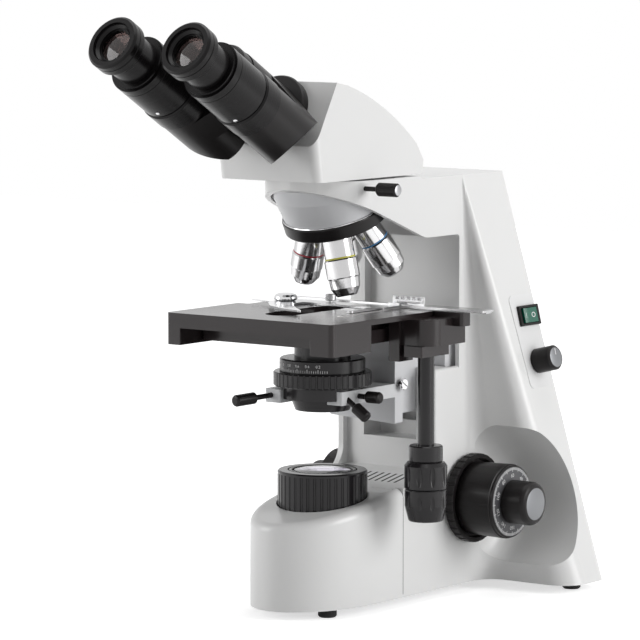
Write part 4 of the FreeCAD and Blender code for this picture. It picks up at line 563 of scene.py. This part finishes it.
SCALE_TREE, SCALE_SOCKETS = scale_tree()
print("tree:", SCALE_TREE.name, "with", len(SCALE_TREE.nodes), "nodes")

# %% [markdown]
# A modifier runs the tree on an empty object. Its inputs are set by the
# sockets' identifiers, and the result is taken over as a plain mesh, so that
# nothing is left to evaluate later.

# %% Run the tree once for each scale
def evaluated_mesh(holder):
    """The mesh that an object comes to, with the object itself removed."""
    bpy.context.view_layer.update()
    depsgraph = bpy.context.evaluated_depsgraph_get()
    mesh = bpy.data.meshes.new_from_object(holder.evaluated_get(depsgraph))
    bpy.data.objects.remove(holder)
    return mesh


def scale_piece(name, matrix, mat, body, **values):
    """A graduated scale. Lengths are in millimetres and Turn is in degrees."""
    holder = bpy.data.objects.new(name, bpy.data.meshes.new(name))
    bpy.context.collection.objects.link(holder)
    modifier = holder.modifiers.new("nodes", "NODES")
    modifier.node_group = SCALE_TREE
    modifier[SCALE_SOCKETS["Finish"]] = mat
    for label, value in values.items():
        label = label.replace("_", " ")
        if label == "Turn":
            value = math.radians(value)
        elif isinstance(value, tuple):
            value = [v * MM for v in value]
        modifier[SCALE_SOCKETS[label]] = value
    mesh = evaluated_mesh(holder)
    mesh.transform(matrix)
    print(name, "has", values["Count"], "bars")
    return add_mesh(name, mesh, mat, body)


# %% [markdown]
# The nosepiece leans toward the column, and its four seats lie on a cone, so that
# the objective in use hangs upright. The places could be read off the solids,
# but working them out from the lean, the cone and the turn gives the axes too.

# %% Where the objectives point
NOSE_TILT = math.radians(20)
NOSE_AT = Vector((0.0, 17.0, 286.9))
NOSE_DOWN = Vector((0, math.sin(NOSE_TILT), -math.cos(NOSE_TILT)))
NOSE_BACK = Vector((0, math.cos(NOSE_TILT), math.sin(NOSE_TILT)))
SEAT_DEPTH = 5.0
SEAT_CIRCLE = (NOSE_AT.y + SEAT_DEPTH * math.sin(NOSE_TILT)) / math.cos(NOSE_TILT)
SEATS_APART = 90.0
FIRST_SEAT = 33.0 - SEATS_APART


def objective_frame(number, length):
    """A frame on an objective's axis, a length out from its seat."""
    turn = math.radians(FIRST_SEAT + SEATS_APART * number)
    outward = Vector((1, 0, 0)) * math.sin(turn) - NOSE_BACK * math.cos(turn)
    seat = NOSE_AT + NOSE_DOWN * SEAT_DEPTH + outward * SEAT_CIRCLE
    way = NOSE_DOWN * math.cos(NOSE_TILT) + outward * math.sin(NOSE_TILT)
    return frame_at(place(*(seat + way * length)), way, way.cross(Vector((1, 0, 0))))


print("objectives lean", round(math.degrees(NOSE_TILT)), "degrees from the nosepiece's axis")

# %% [markdown]
# The objectives are turned and chromed barrels, each on its own axis. One
# chrome for all four would draw its lines round a wrong axis, so each barrel
# gets a copy of the finish with the direction it points in.

# %% Chrome for the objectives
OBJECTIVE_NODES = ("objective_4x", "objective_10x", "objective_40x", "objective_100x")
BARREL_DEPTH = 0.0000015

for number, name in enumerate(OBJECTIVE_NODES):
    axis = objective_frame(number, 0.0).col[2].to_3d()
    paint(name, turned("turned chrome %d" % (number + 1), (0.60, 0.595, 0.60), 0.17, 1.0,
                       tuple(axis), depth=BARREL_DEPTH))
print("objectives", len(OBJECTIVE_NODES))

# %% [markdown]
# Colour rings tell the objectives apart: red, yellow, blue and white, from the
# weakest to the strongest. Each is a line of lacquer in a shallow groove. It
# could be a mask in the chrome, but a thin band just proud of the barrel stays
# sharp at any distance and carries its own colour.

# %% Colour rings on the objectives
RING_COLORS = (("red lacquer", (0.36, 0.015, 0.03)), ("yellow lacquer", (0.55, 0.52, 0.05)),
               ("blue lacquer", (0.05, 0.20, 0.42)), ("white lacquer", (0.75, 0.75, 0.75)))
RING_AT = 14.6
RING_HALF = 0.57
RING_SUNK = 0.4
RING_PROUD = 0.06
BARREL_RADII = (11.3, 11.3, 11.1, 11.1)

for number, ((lacquer, color), radius) in enumerate(zip(RING_COLORS, BARREL_RADII)):
    inner, outer = radius - RING_SUNK, radius + RING_PROUD
    band = [(inner, -RING_HALF), (outer, -RING_HALF), (outer, RING_HALF), (inner, RING_HALF)]
    lathe_piece("colour ring %d" % (number + 1), band, objective_frame(number, RING_AT),
                enamel(lacquer, color, 0.35), "nosepiece")
print("colour rings", len(BARREL_RADII))

# %% [markdown]
# Figures are engraved upright and filled with paint. They come from Blender's
# own font, because a picture of them would need a file. Text is a curve, so it
# is turned into a mesh before it is bent or placed.

# %% Figures
WORDS_DEPTH = 0.1


def words_mesh(text, height):
    """Upright text as a thin mesh centred on the origin."""
    curve = bpy.data.curves.new("words", "FONT")
    curve.body = text
    curve.size = height * MM
    curve.align_x = "CENTER"
    curve.align_y = "CENTER"
    curve.extrude = WORDS_DEPTH * MM / 2
    curve.resolution_u = 2
    holder = bpy.data.objects.new("words", curve)
    bpy.context.collection.objects.link(holder)
    mesh = evaluated_mesh(holder)
    bpy.data.curves.remove(curve)
    return mesh


def joined(name, meshes, mat, body):
    """Several meshes as one piece."""
    bm = bmesh.new()
    for mesh in meshes:
        bm.from_mesh(mesh)
    return add_mesh(name, finished(bm, name), mat, body)


print("figures are", WORDS_DEPTH, "mm thick")

# %% [markdown]
# The face of the right coarse knob is a dial of two hundred divisions, with
# figures every twenty, their heads outward. It could be one printed picture,
# but a picture needs a file. The dial is a thin grey disc let into the face,
# its ticks come from the scale tree, and the figures are placed in a loop.

# %% Dial on the coarse knob
ENGRAVING = enamel("white engraving", (0.80, 0.80, 0.80), 0.5)
DIAL_GREY = turned("dial grey", (0.075, 0.075, 0.08), 0.42, 0.3, (1.0, 0.0, 0.0))
FOCUS_Y = 123.4
FOCUS_Z = 72.5
DIAL_FACE_X = 86.8
DIAL_THICK = 0.25
DIAL_BORE = 16.2
DIAL_RADIUS = 26.4
DIAL_DIVISIONS = 200
DIAL_PHASE = -108.0
DIAL_FIGURE_EVERY = 20
DIAL_FIGURE_HEIGHT = 4.2
DIAL_FIGURE_RADIUS = 19.8


def focus_frame(x):
    """A frame on the focus axis, facing outward to the right or to the left."""
    return frame_at(place(x, FOCUS_Y, FOCUS_Z), (math.copysign(1, x), 0, 0), (0, 0, 1))


dial_disc = [(DIAL_BORE, 0.0), (DIAL_RADIUS, 0.0), (DIAL_RADIUS, DIAL_THICK - 0.05),
             (DIAL_RADIUS - 0.1, DIAL_THICK), (DIAL_BORE, DIAL_THICK)]
lathe_piece("coarse dial", dial_disc, focus_frame(DIAL_FACE_X), DIAL_GREY, "coarse", steps=96)
dial_face = focus_frame(DIAL_FACE_X + DIAL_THICK)
scale_piece("coarse dial ticks", dial_face, ENGRAVING, "coarse",
            Count=DIAL_DIVISIONS, Every=10, Turn=360.0 / DIAL_DIVISIONS,
            Start=(DIAL_RADIUS - 1.4, 0.0, 0.0), Bar=(2.0, 0.3, 0.08),
            Long_Bar=(3.2, 0.42, 0.08), Long_Shift=(-0.6, 0.0, 0.0))
figures = []
for value in range(0, DIAL_DIVISIONS, DIAL_FIGURE_EVERY):
    mesh = words_mesh(str(value), DIAL_FIGURE_HEIGHT)
    turn = math.radians(DIAL_PHASE + 360.0 * value / DIAL_DIVISIONS - 90.0)
    out = Matrix.Translation((0, DIAL_FIGURE_RADIUS * MM, 0))
    mesh.transform(dial_face @ Matrix.Rotation(turn, 4, "Z") @ out)
    figures.append(mesh)
joined("coarse dial figures", figures, ENGRAVING, "coarse")
print("dial figures", len(figures))

# %% [markdown]
# The fine knobs end in a grey cap, pressed in and slightly domed. The solid
# knob is one piece of black, and its own mesh isn't changed, so the cap is a
# thin lid of its own that overlaps the knob's face a little.

# %% Grey caps on the fine knobs
CAP_GREY = turned("grey knob cap", (0.22, 0.225, 0.235), 0.42, 0.6, (1.0, 0.0, 0.0))
FINE_CAP = [(0, -0.3), (12.1, -0.3), (12.1, 0.08), (11.6, 0.3), (0, 0.45)]
FINE_FACES = (("right", 108.1), ("left", -99.1))

for word, face_x in FINE_FACES:
    lathe_piece("fine knob cap " + word, FINE_CAP, focus_frame(face_x), CAP_GREY, "fine")
print("fine knob caps", len(FINE_FACES))

# %% [markdown]
# The condenser's dial shows the setting of its diaphragm against a mark on the
# ring: six figures and a row of ticks on the side that faces the operator. Flat
# figures would stand off a round drum at their ends, so each point of a figure
# is bent round it: its way along becomes an angle.

# %% Condenser dial
CONDENSER_DIAL_RADIUS = 31.9
CONDENSER_DIAL_LOW = 178.3
CONDENSER_FIGURE_HEIGHT = 2.9
CONDENSER_FIGURE_RISE = 5.6
CONDENSER_FIGURES = ("1.2", "1.0", "0.8", "0.6", "0.4", "0.2")
CONDENSER_TICKS = 30
TICKS_PER_FIGURE = 5
DIAL_START = -134.0
DIAL_STEP = 3.0


def on_cylinder(mesh, radius, start_angle):
    """Wrap a flat mesh, drawn in X and Y, round a cylinder about Z."""
    for vertex in mesh.vertices:
        a = start_angle + vertex.co.x / radius
        reach = radius + vertex.co.z
        vertex.co = (reach * math.cos(a), reach * math.sin(a), vertex.co.y)
    return mesh


start_angle = math.radians(DIAL_START)
dial_frame = frame_at(place(0, 0, CONDENSER_DIAL_LOW), (0, 0, 1),
                      (math.cos(start_angle), math.sin(start_angle), 0))
scale_piece("condenser dial ticks", dial_frame, ENGRAVING, "condenser",
            Count=CONDENSER_TICKS, Every=TICKS_PER_FIGURE, Turn=DIAL_STEP,
            Start=(CONDENSER_DIAL_RADIUS, 0.0, 1.6), Bar=(0.12, 0.3, 1.9),
            Long_Bar=(0.12, 0.36, 3.0), Long_Shift=(0.0, 0.0, 0.5))
figures = []
for number, text in enumerate(CONDENSER_FIGURES):
    angle = math.radians(DIAL_START + DIAL_STEP * TICKS_PER_FIGURE * number)
    mesh = on_cylinder(words_mesh(text, CONDENSER_FIGURE_HEIGHT), CONDENSER_DIAL_RADIUS * MM,
                       angle)
    mesh.transform(Matrix.Translation(place(0, 0, CONDENSER_DIAL_LOW + CONDENSER_FIGURE_RISE)))
    figures.append(mesh)
joined("condenser dial figures", figures, ENGRAVING, "condenser")
print("condenser figures", len(figures))

# %% [markdown]
# The stage carries two straight scales: a bright strip along its right edge for
# travel to and fro, and an upright plate behind the slide for left and right.
# They come from the same tree as the dials, with a step that moves and no turn.
# The strip itself is a block whose edges get a small bevel, which is what makes
# a thin metal part catch a line of light.

# %% Blocks
def block_piece(name, size, matrix, mat, body, bevel=0.0):
    """A block, centred on its frame's X and Y and standing on it."""
    bm = bmesh.new()
    bmesh.ops.create_cube(bm, size=1.0)
    scale = Matrix.Diagonal((size[0] * MM, size[1] * MM, size[2] * MM, 1))
    lift = Matrix.Translation((0, 0, size[2] * MM / 2))
    bmesh.ops.transform(bm, matrix=lift @ scale, verts=bm.verts)
    if bevel:
        bmesh.ops.bevel(bm, geom=bm.edges, offset=bevel * MM, segments=2, profile=0.5,
                        affect="EDGES")
    mesh = smooth(finished(bm, name))
    mesh.transform(matrix)
    return add_mesh(name, mesh, mat, body)


print("block helper is ready")

# %% Stage scales
STRIP_METAL = metal("satin strip", (0.62, 0.60, 0.60), 0.32)
INK = enamel("black engraving", (0.012, 0.012, 0.012), 0.6)
STAGE_TOP = 224.0
STRIP_SIZE = (3.6, 78.0, 0.22)
STRIP_TICKS = 71
PLATE_TICKS = 41
PLATE_FIGURES = (60, 65, 70, 75, 80)
PLATE_START = -10.0
PLATE_FIGURE_APART = 5.0
PLATE_FIGURE_HEIGHT = 3.4
PLATE_FIGURE_RISE = 1.1

strip_frame = upright_frame(44.4, 0.0, STAGE_TOP)
block_piece("stage scale strip", STRIP_SIZE, strip_frame, STRIP_METAL, "stage_y", bevel=0.06)
scale_piece("stage strip ticks", strip_frame, INK, "stage_y",
            Count=STRIP_TICKS, Every=10, Step=(0.0, 1.0, 0.0), Start=(-0.9, -35.0, 0.22),
            Bar=(1.0, 0.16, 0.04), Long_Bar=(2.0, 0.2, 0.04), Long_Shift=(0.5, 0.0, 0.0))
plate_frame = frame_at(place(48.8, 41.0, 230.0), (0, -1, 0), (1, 0, 0))
scale_piece("scale plate ticks", plate_frame, INK, "stage_x",
            Count=PLATE_TICKS, Every=5, Step=(0.5, 0.0, 0.0), Start=(PLATE_START, -1.9, 0.0),
            Bar=(0.2, 1.2, 0.06), Long_Bar=(0.28, 1.8, 0.06), Long_Shift=(0.0, 0.3, 0.0))
figures = []
for number, value in enumerate(PLATE_FIGURES):
    mesh = words_mesh(str(value), PLATE_FIGURE_HEIGHT)
    along = (PLATE_START + PLATE_FIGURE_APART * number) * MM
    mesh.transform(plate_frame @ Matrix.Translation((along, PLATE_FIGURE_RISE * MM, 0)))
    figures.append(mesh)
joined("scale plate figures", figures, INK, "stage_x")
print("scale plate figures", len(figures))

# %% [markdown]
# A slotted screw holds the carriage's side plate. The slot could be cut with a
# boolean, but two half discs with a gap between them give the same shape with
# clean faces: each half rises to a chamfered top, and a lower disc closes the
# bottom of the slot.

# %% Slotted screw on the carriage
SLOT_SHARE = 0.12
CHAMFER_FROM = 0.65
CHAMFER_SHARE = 0.14
HALF_STEPS = 24
SCREW_RADIUS = 4.4
SCREW_HEIGHT = 1.8
SCREW_STAND = 3.2


def half_disc(bm, side, radius, height):
    """One half of the screw's head, to the right (1) or left (-1) of its slot."""
    gap = radius * SLOT_SHARE
    limit = math.acos(gap / radius)
    rim = []
    for i in range(HALF_STEPS + 1):
        a = -limit + 2 * limit * i / HALF_STEPS
        rim.append((side * radius * math.cos(a), radius * math.sin(a)))
    keep = 1 - CHAMFER_SHARE
    shift = side * gap * CHAMFER_SHARE
    low = [bm.verts.new((x * MM, y * MM, 0)) for x, y in rim]
    mid = [bm.verts.new((x * MM, y * MM, height * CHAMFER_FROM * MM)) for x, y in rim]
    top = [bm.verts.new(((x * keep + shift) * MM, y * keep * MM, height * MM)) for x, y in rim]
    for lower, upper in ((low, mid), (mid, top)):
        for i in range(len(rim)):
            k = (i + 1) % len(rim)
            bm.faces.new((lower[i], lower[k], upper[k], upper[i]))
    bm.faces.new(top)
    bm.faces.new(low)


def slotted_screw(name, matrix, radius, height, mat, body):
    """Round head with a straight slot."""
    bm = bmesh.new()
    for side in (-1, 1):
        half_disc(bm, side, radius, height)
    base = bmesh.ops.create_cone(bm, cap_ends=True, segments=2 * HALF_STEPS, radius1=radius * MM,
                                 radius2=radius * MM, depth=height / 2 * MM)
    bmesh.ops.translate(bm, vec=(0, 0, height / 4 * MM), verts=base["verts"])
    bmesh.ops.recalc_face_normals(bm, faces=bm.faces)
    mesh = smooth(finished(bm, name))
    mesh.transform(matrix)
    return add_mesh(name, mesh, mat, body)


carriage_side = frame_at(place(30.4 + SCREW_STAND, 55.8, 164.6), (1, 0, 0), (0, 0.55, 0.83))
slotted_screw("carriage screw", carriage_side, SCREW_RADIUS, SCREW_HEIGHT, CHROME, "carriage")
shank = [(0, -SCREW_STAND - 0.3), (1.9, -SCREW_STAND - 0.3), (1.9, 0.2), (0, 0.2)]
lathe_piece("carriage screw shank", shank, carriage_side, POST_BLACK, "carriage", steps=24)
print("carriage screw stands", SCREW_STAND, "mm off the plate")

# %% [markdown]
# A bright set screw locks each eyepiece tube in its collar. It sits on the round
# side of the tube, so its frame is the tube's own, turned about the axis, moved
# out by the radius and tipped over to face outward.

# %% Set screws in the tubes
HEAD_FACE = (0.0, -57.0, 371.0)
TUBE_ARM = 42.0
TUBE_DROPS = {1: 26.8, -1: 24.1}
TUBE_START = 7.3
SET_SCREW = [(0, -1.2), (1.5, -1.2), (1.5, 0.7), (1.1, 1.0), (0, 1.05)]
COLLAR_RADIUS = 22.2
SET_SCREWS_AT = ((1, "right", 77.0, -72.0), (-1, "left", 79.0, -79.0))


def tube_frame(side, length):
    """A frame on a tube's axis (1 right, -1 left), a length out from its housing's foot."""
    rise = Vector((0, math.sin(TUBE_TILT), math.cos(TUBE_TILT)))
    out = Vector(TUBE_WAY)
    drop = TUBE_DROPS[side]
    swing = math.sqrt(TUBE_ARM ** 2 - drop ** 2)
    at = Vector(HEAD_FACE) - rise * drop + out * (TUBE_START + length)
    return frame_at(place(*(at + Vector((side * swing, 0, 0)))), out, (1, 0, 0))


for side, word, along, turned_by in SET_SCREWS_AT:
    turn = Matrix.Rotation(math.radians(turned_by), 4, "Z")
    out = Matrix.Translation((COLLAR_RADIUS * MM, 0, 0)) @ Matrix.Rotation(math.radians(90), 4, "Y")
    lathe_piece("tube set screw " + word, SET_SCREW, tube_frame(side, along) @ turn @ out,
                CHROME, word + "_ocular", steps=24)
print("set screws", len(SET_SCREWS_AT))

# %% [markdown]
# A thin bright ring shows where the nosepiece turns against its mount, and the
# head's lock screw ends in a light cap. Both are turned outlines: the ring is
# open in the middle because its outline stays away from the axis.

# %% Bright ring over the nosepiece, and the cap of the head lock screw
CAP_LIGHT = metal("light cap", (0.36, 0.36, 0.37), 0.35)
NOSE_TOP = 10.5
NOSE_RING = [(37.95, NOSE_TOP - 0.1), (38.75, NOSE_TOP - 0.1), (38.75, NOSE_TOP + 0.2),
             (38.45, NOSE_TOP + 0.55), (37.95, NOSE_TOP + 0.55)]
LOCK_CAP = [(0, -0.2), (3.9, -0.2), (3.9, 0.25), (3.4, 0.5), (0, 0.55)]

ring_frame = frame_at(place(*NOSE_AT), NOSE_DOWN * -1, (1, 0, 0))
lathe_piece("nosepiece bright ring", NOSE_RING, ring_frame, CHROME, "nosepiece", steps=96)
lock_frame = frame_at(place(73.4, -6.5, 315.2), (1, 0, 0), (0, 0, 1))
lathe_piece("head lock cap", LOCK_CAP, lock_frame, CAP_LIGHT, "head_lock", steps=40)
print("bright ring and lock cap are on")

# %% [markdown]
# The field lens bulges over its collar, so its face catches the light. The
# plain glass solid is shown by this domed one, which has the same seat. Its
# outline is an arc, worked out from the lens's width and rise.

# %% Domed field lens
LENS_RADIUS = 20.9
LENS_LOW = 99.0
LENS_EDGE = 103.7
LENS_TOP = 105.6
LENS_STEPS = 12

rise = LENS_TOP - LENS_EDGE
ball = (LENS_RADIUS ** 2 + rise ** 2) / (2 * rise)
dome = [(0, LENS_LOW), (LENS_RADIUS, LENS_LOW)]
for i in range(LENS_STEPS + 1):
    r = LENS_RADIUS * (1 - i / LENS_STEPS)
    dome.append((r, LENS_TOP - ball + math.sqrt(ball ** 2 - r ** 2)))
field_glass = lathe_piece("field lens dome", dome, axis_frame, LENS_LILAC, "stand", steps=96)
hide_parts("field_lens")
print("lens dome is cut from a ball of radius %.1f mm" % ball)

# %% [markdown]
# The lamp is cooled through a row of slots in the deck behind it. A texture of
# stripes could draw them, but the export would have to bake it. The scale tree
# lays them instead as flat bars of painted shade on the slope of the deck: the
# bars stand for the shade inside the slots.

# %% Vent slots behind the lamp well
# Painted shade: one flat near-black finish for the shade inside the vent slots and in the cover's
# seam.
PAINTED_GAP_SHADE = enamel("vent shadow", (0.02, 0.02, 0.021), 0.8, shine=0.1)
DECK_AXIS = 82.0
DECK_SLOPE = 0.17
VENTS = 11
VENT_STEP = 5.9
VENT_BAR = (1.7, 20.0, 0.1)
VENT_Y = 60.0

deck_way = Vector((0, 1, DECK_SLOPE)).normalized()
deck_frame = frame_at(place(0, VENT_Y, DECK_AXIS + DECK_SLOPE * VENT_Y),
                      Vector((1, 0, 0)).cross(deck_way), (1, 0, 0))
scale_piece("vent slots", deck_frame, PAINTED_GAP_SHADE, "stand",
            Count=VENTS, Every=VENTS, Step=(VENT_STEP, 0.0, 0.0),
            Start=(-VENT_STEP * (VENTS - 1) / 2, 0.0, 0.0), Bar=VENT_BAR, Long_Bar=VENT_BAR)

# %% [markdown]
# The front cover meets the casting in a narrow seam on each side of the foot.
# The real gap is finer than a pixel, so a strip of painted shade, the width of a
# pencil mark, lies in it, up the side and over the rounded edge. It is a closed
# strip: one outline just outside the surface, and one just inside it.

# %% Seam of the front cover
ARM_HALF = 46.0
SEAM_Y = 39.0
SEAM_WIDE = 0.5
SEAM_LOW = 9.0
SEAM_PROUD = 0.04
SEAM_SUNK = 0.4
EDGE_RADIUS = 7.0
EDGE_STEPS = 12
SEAM_TOP = DECK_AXIS + DECK_SLOPE * SEAM_Y


def seam_path(lift):
    """The side of the foot and its rounded edge, seen along Y, at a lift off the surface."""
    centre_x, centre_z = ARM_HALF - EDGE_RADIUS, SEAM_TOP - EDGE_RADIUS
    reach = EDGE_RADIUS + lift
    path = [(ARM_HALF + lift, SEAM_LOW)]
    for i in range(EDGE_STEPS + 1):
        a = math.radians(90 * i / EDGE_STEPS)
        path.append((centre_x + reach * math.cos(a), centre_z + reach * math.sin(a)))
    return path


def seam_line(name, side):
    bm = bmesh.new()
    outline = seam_path(SEAM_PROUD) + seam_path(-SEAM_SUNK)[::-1]
    ends = []
    for y in (SEAM_Y - SEAM_WIDE / 2, SEAM_Y + SEAM_WIDE / 2):
        ends.append([bm.verts.new(place(side * x, y, z)) for x, z in outline])
    count = len(outline)
    for i in range(count):
        k = (i + 1) % count
        bm.faces.new((ends[0][i], ends[0][k], ends[1][k], ends[1][i]))
    for row in ends:
        for i in range(count // 2 - 1):
            bm.faces.new((row[i], row[i + 1], row[count - 2 - i], row[count - 1 - i]))
    bmesh.ops.recalc_face_normals(bm, faces=bm.faces)
    # The strip is painted shade in the seam gap.
    return add_mesh(name, finished(bm, name), PAINTED_GAP_SHADE, "stand")


seam_line("seam line right", 1)
seam_line("seam line left", -1)
print("seam at Y =", SEAM_Y, "mm")

# %% [markdown]
# A rubber ring seals the field lens in its collar. A torus primitive is round
# in section, but this ring is pressed a little flat, so its section is an
# ellipse that the lathe helper turns.

# %% Sealing ring round the field lens
GLOSS_RUBBER = enamel("sealing ring", (0.008, 0.008, 0.008), 0.22, shine=0.3)
SEAL_RADIUS = 24.0
SEAL_Z = 103.2
SEAL_WIDE = 1.3
SEAL_HIGH = 1.0
SEAL_POINTS = 10

section = []
for i in range(SEAL_POINTS):
    a = 2 * math.pi * i / SEAL_POINTS
    section.append((SEAL_RADIUS + SEAL_WIDE * math.cos(a), SEAL_Z + SEAL_HIGH * math.sin(a)))
lathe_piece("field lens sealing ring", section, axis_frame, GLOSS_RUBBER, "stand", steps=96)
print("sealing ring points", SEAL_POINTS)

# %% [markdown]
# The dimmer has a grey cap with a white line that shows its setting, and the
# rocker has a ring for off and a bar for on. The rocker's face is a shallow
# valley, so each mark is tilted to the slope it lies on. All of them ride on
# the body that moves, and turn or tip with it.

# %% Marks on the switch and the dimmer
SIDE_LEAN = 0.246
ARM_TOP = 319.0
PANEL_PROUD = 0.6
DIMMER_TOP = PANEL_PROUD + 0.3 + 17.0
DIMMER_CAP = [(0, -0.2), (7.6, -0.2), (7.6, 0.1), (7.2, 0.3), (0, 0.35)]
ROCKER_FACES = {"off": (5.2, 1.80, -10.8), "on": (-5.2, 2.35, 16.6)}
OFF_RING = [(1.4, -0.1), (2.0, -0.1), (2.0, 0.12), (1.4, 0.12)]


def panel_frame(y, z, lift):
    """A frame on the flared right side: Z out of it, X toward the rear."""
    out = Vector((1, 0, SIDE_LEAN)).normalized()
    at = Vector((ARM_HALF + SIDE_LEAN * (ARM_TOP - z), y, z)) + out * lift
    return frame_at(place(*at), out, (0, 1, 0))


dimmer_frame = panel_frame(164.0, 175.3, DIMMER_TOP)
lathe_piece("dimmer cap", DIMMER_CAP, dimmer_frame, CAP_GREY, "dimmer", steps=48)
mark_frame = dimmer_frame @ Matrix.Translation((0, 4.4 * MM, 0.3 * MM))
block_piece("dimmer mark", (0.8, 4.6, 0.2), mark_frame, ENGRAVING, "dimmer")
rocker_frame = panel_frame(163.0, 209.8, PANEL_PROUD)


def on_rocker(face):
    """A frame on one of the rocker's two sloping faces."""
    along, height, slope = ROCKER_FACES[face]
    return (rocker_frame @ Matrix.Translation((along * MM, 0, height * MM))
            @ Matrix.Rotation(math.radians(slope), 4, "Y"))


off_mark = lathe_mesh("off mark", OFF_RING, 32)
off_mark.transform(on_rocker("off"))
joined("rocker mark off", [off_mark], ENGRAVING, "rocker")
block_piece("rocker mark on", (0.7, 4.0, 0.12), on_rocker("on"), ENGRAVING, "rocker")
print("marks are on the dimmer and the rocker")

# %% [markdown]
# The scene round the object is plain. The camera stands far off with a long
# lens, as for a catalogue picture, so the upright lines stay nearly parallel.

# %% Camera
CAMERA_AT = place(1766.6, -2358.5, 525.1)
CAMERA_WAY = Vector((-0.5967, 0.7956, -0.1045))
CAMERA_LENS = 225.0
CAMERA_END = 20.0

camera_data = bpy.data.cameras.new("camera")
camera_data.lens = CAMERA_LENS
camera_data.clip_end = CAMERA_END
camera = bpy.data.objects.new("camera", camera_data)
camera.location = CAMERA_AT
camera.rotation_euler = CAMERA_WAY.to_track_quat("-Z", "Y").to_euler()
bpy.context.collection.objects.link(camera)
bpy.context.scene.camera = camera
print("camera", [round(v, 3) for v in camera.location])

# %% [markdown]
# The backdrop is pure white. More light would give that too, but would bleach
# the object. Light Path tells what a ray is for, so the world is white where it
# is seen, mirrored or looked at through glass, and dim where it lights.

# %% World
WORLD_LIGHT = 0.15
BACKDROP = 1.0
PURE_WHITE = (1.0, 1.0, 1.0, 1.0)


def seen_rays(tree):
    """1 for camera, glossy and transmission rays, and 0 for all others."""
    path = tree.nodes.new("ShaderNodeLightPath")
    mirrored = math_node(tree, "MAXIMUM")
    seen = math_node(tree, "MAXIMUM")
    tree.links.new(path.outputs["Is Transmission Ray"], mirrored.inputs[0])
    tree.links.new(path.outputs["Is Glossy Ray"], mirrored.inputs[1])
    tree.links.new(path.outputs["Is Camera Ray"], seen.inputs[0])
    tree.links.new(mirrored.outputs[0], seen.inputs[1])
    return seen.outputs[0]


def build_world():
    world = bpy.data.worlds.new("studio")
    world.use_nodes = True
    tree = world.node_tree
    background = tree.nodes["Background"]
    background.inputs["Color"].default_value = PURE_WHITE
    strength = tree.nodes.new("ShaderNodeMix")
    strength.data_type = "FLOAT"
    strength.inputs["A"].default_value = WORLD_LIGHT
    strength.inputs["B"].default_value = BACKDROP
    tree.links.new(seen_rays(tree), strength.inputs["Factor"])
    tree.links.new(strength.outputs["Result"], background.inputs["Strength"])
    bpy.context.scene.world = world


build_world()
print("world light", WORLD_LIGHT, "backdrop", BACKDROP)

# %% [markdown]
# Three large soft lamps light it. The right one is the strongest and stands a
# little behind, so the right side is bright and the hollows of the stand stay
# dark. The left one fills the fronts, and the top one the stage and the foot.

# %% Lamps
LOOK = (0.0, 0.0, 0.22)
LAMPS = (("top softbox", (0.0, 0.1, 1.6), (1.1, 1.1), 8.0),
         ("left softbox", (-1.25, -1.15, 0.75), (1.0, 1.2), 14.5),
         ("right softbox", (1.75, 0.5, 0.7), (0.9, 1.2), 21.5))

for name, at, size, power in LAMPS:
    data = bpy.data.lights.new(name, "AREA")
    data.shape = "RECTANGLE"
    data.size, data.size_y = size
    data.energy = power
    softbox = bpy.data.objects.new(name, data)
    softbox.location = at
    softbox.rotation_euler = (Vector(LOOK) - Vector(at)).to_track_quat("-Z", "Y").to_euler()
    bpy.context.collection.objects.link(softbox)
print("lamps", len(LAMPS))

# %% [markdown]
# The floor keeps the object's soft shadow but has to meet the white backdrop
# with no edge. Its glow, which only the seen rays pick up, rises from partial
# under the object to full a little way off.

# %% Floor
FLOOR_HALF = 3.0
FLOOR_COLOR = (0.85, 0.85, 0.85, 1.0)
FLOOR_GLOW = 0.6
GLOW_FROM = 0.2
GLOW_FULL = 0.8


def floor_white():
    """White paint whose glow rises with the distance from the middle."""
    mat = bpy.data.materials.new("floor white")
    mat.use_nodes = True
    tree = mat.node_tree
    shader = tree.nodes["Principled BSDF"]
    shader.inputs["Base Color"].default_value = FLOOR_COLOR
    shader.inputs["Roughness"].default_value = 0.9
    shader.inputs["Specular IOR Level"].default_value = 0.0
    shader.inputs["Emission Color"].default_value = PURE_WHITE
    where = tree.nodes.new("ShaderNodeTexCoord")
    away = tree.nodes.new("ShaderNodeVectorMath")
    away.operation = "LENGTH"
    rising = tree.nodes.new("ShaderNodeMapRange")
    rising.inputs["From Min"].default_value = GLOW_FROM
    rising.inputs["From Max"].default_value = GLOW_FULL
    rising.inputs["To Min"].default_value = FLOOR_GLOW
    rising.inputs["To Max"].default_value = BACKDROP
    glow = math_node(tree, "MULTIPLY")
    link = tree.links.new
    link(where.outputs["Object"], away.inputs[0])
    link(away.outputs["Value"], rising.inputs["Value"])
    link(seen_rays(tree), glow.inputs[0])
    link(rising.outputs["Result"], glow.inputs[1])
    link(glow.outputs[0], shader.inputs["Emission Strength"])
    return mat


floor_mesh = bpy.data.meshes.new("floor")
corners = [(x * FLOOR_HALF, y * FLOOR_HALF, 0) for x, y in ((-1, -1), (1, -1), (1, 1), (-1, 1))]
floor_mesh.from_pydata(corners, [], [(0, 1, 2, 3)])
floor_mesh.materials.append(floor_white())
floor = bpy.data.objects.new("floor", floor_mesh)
bpy.context.collection.objects.link(floor)
floor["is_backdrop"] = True
print("floor", 2 * FLOOR_HALF, "m wide")

# %% [markdown]
# Last come the sizes. The outer box of what is seen is set beside the box of
# the solids, and the two should be almost the same.

# %% Sizes and finish
bpy.context.scene.view_settings.view_transform = "Standard"
seen_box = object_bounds()
for title, (low, high) in (("solids", cad_box), ("seen", seen_box)):
    print(title, [round((b - a) / MM, 1) for a, b in zip(low, high)], "mm")
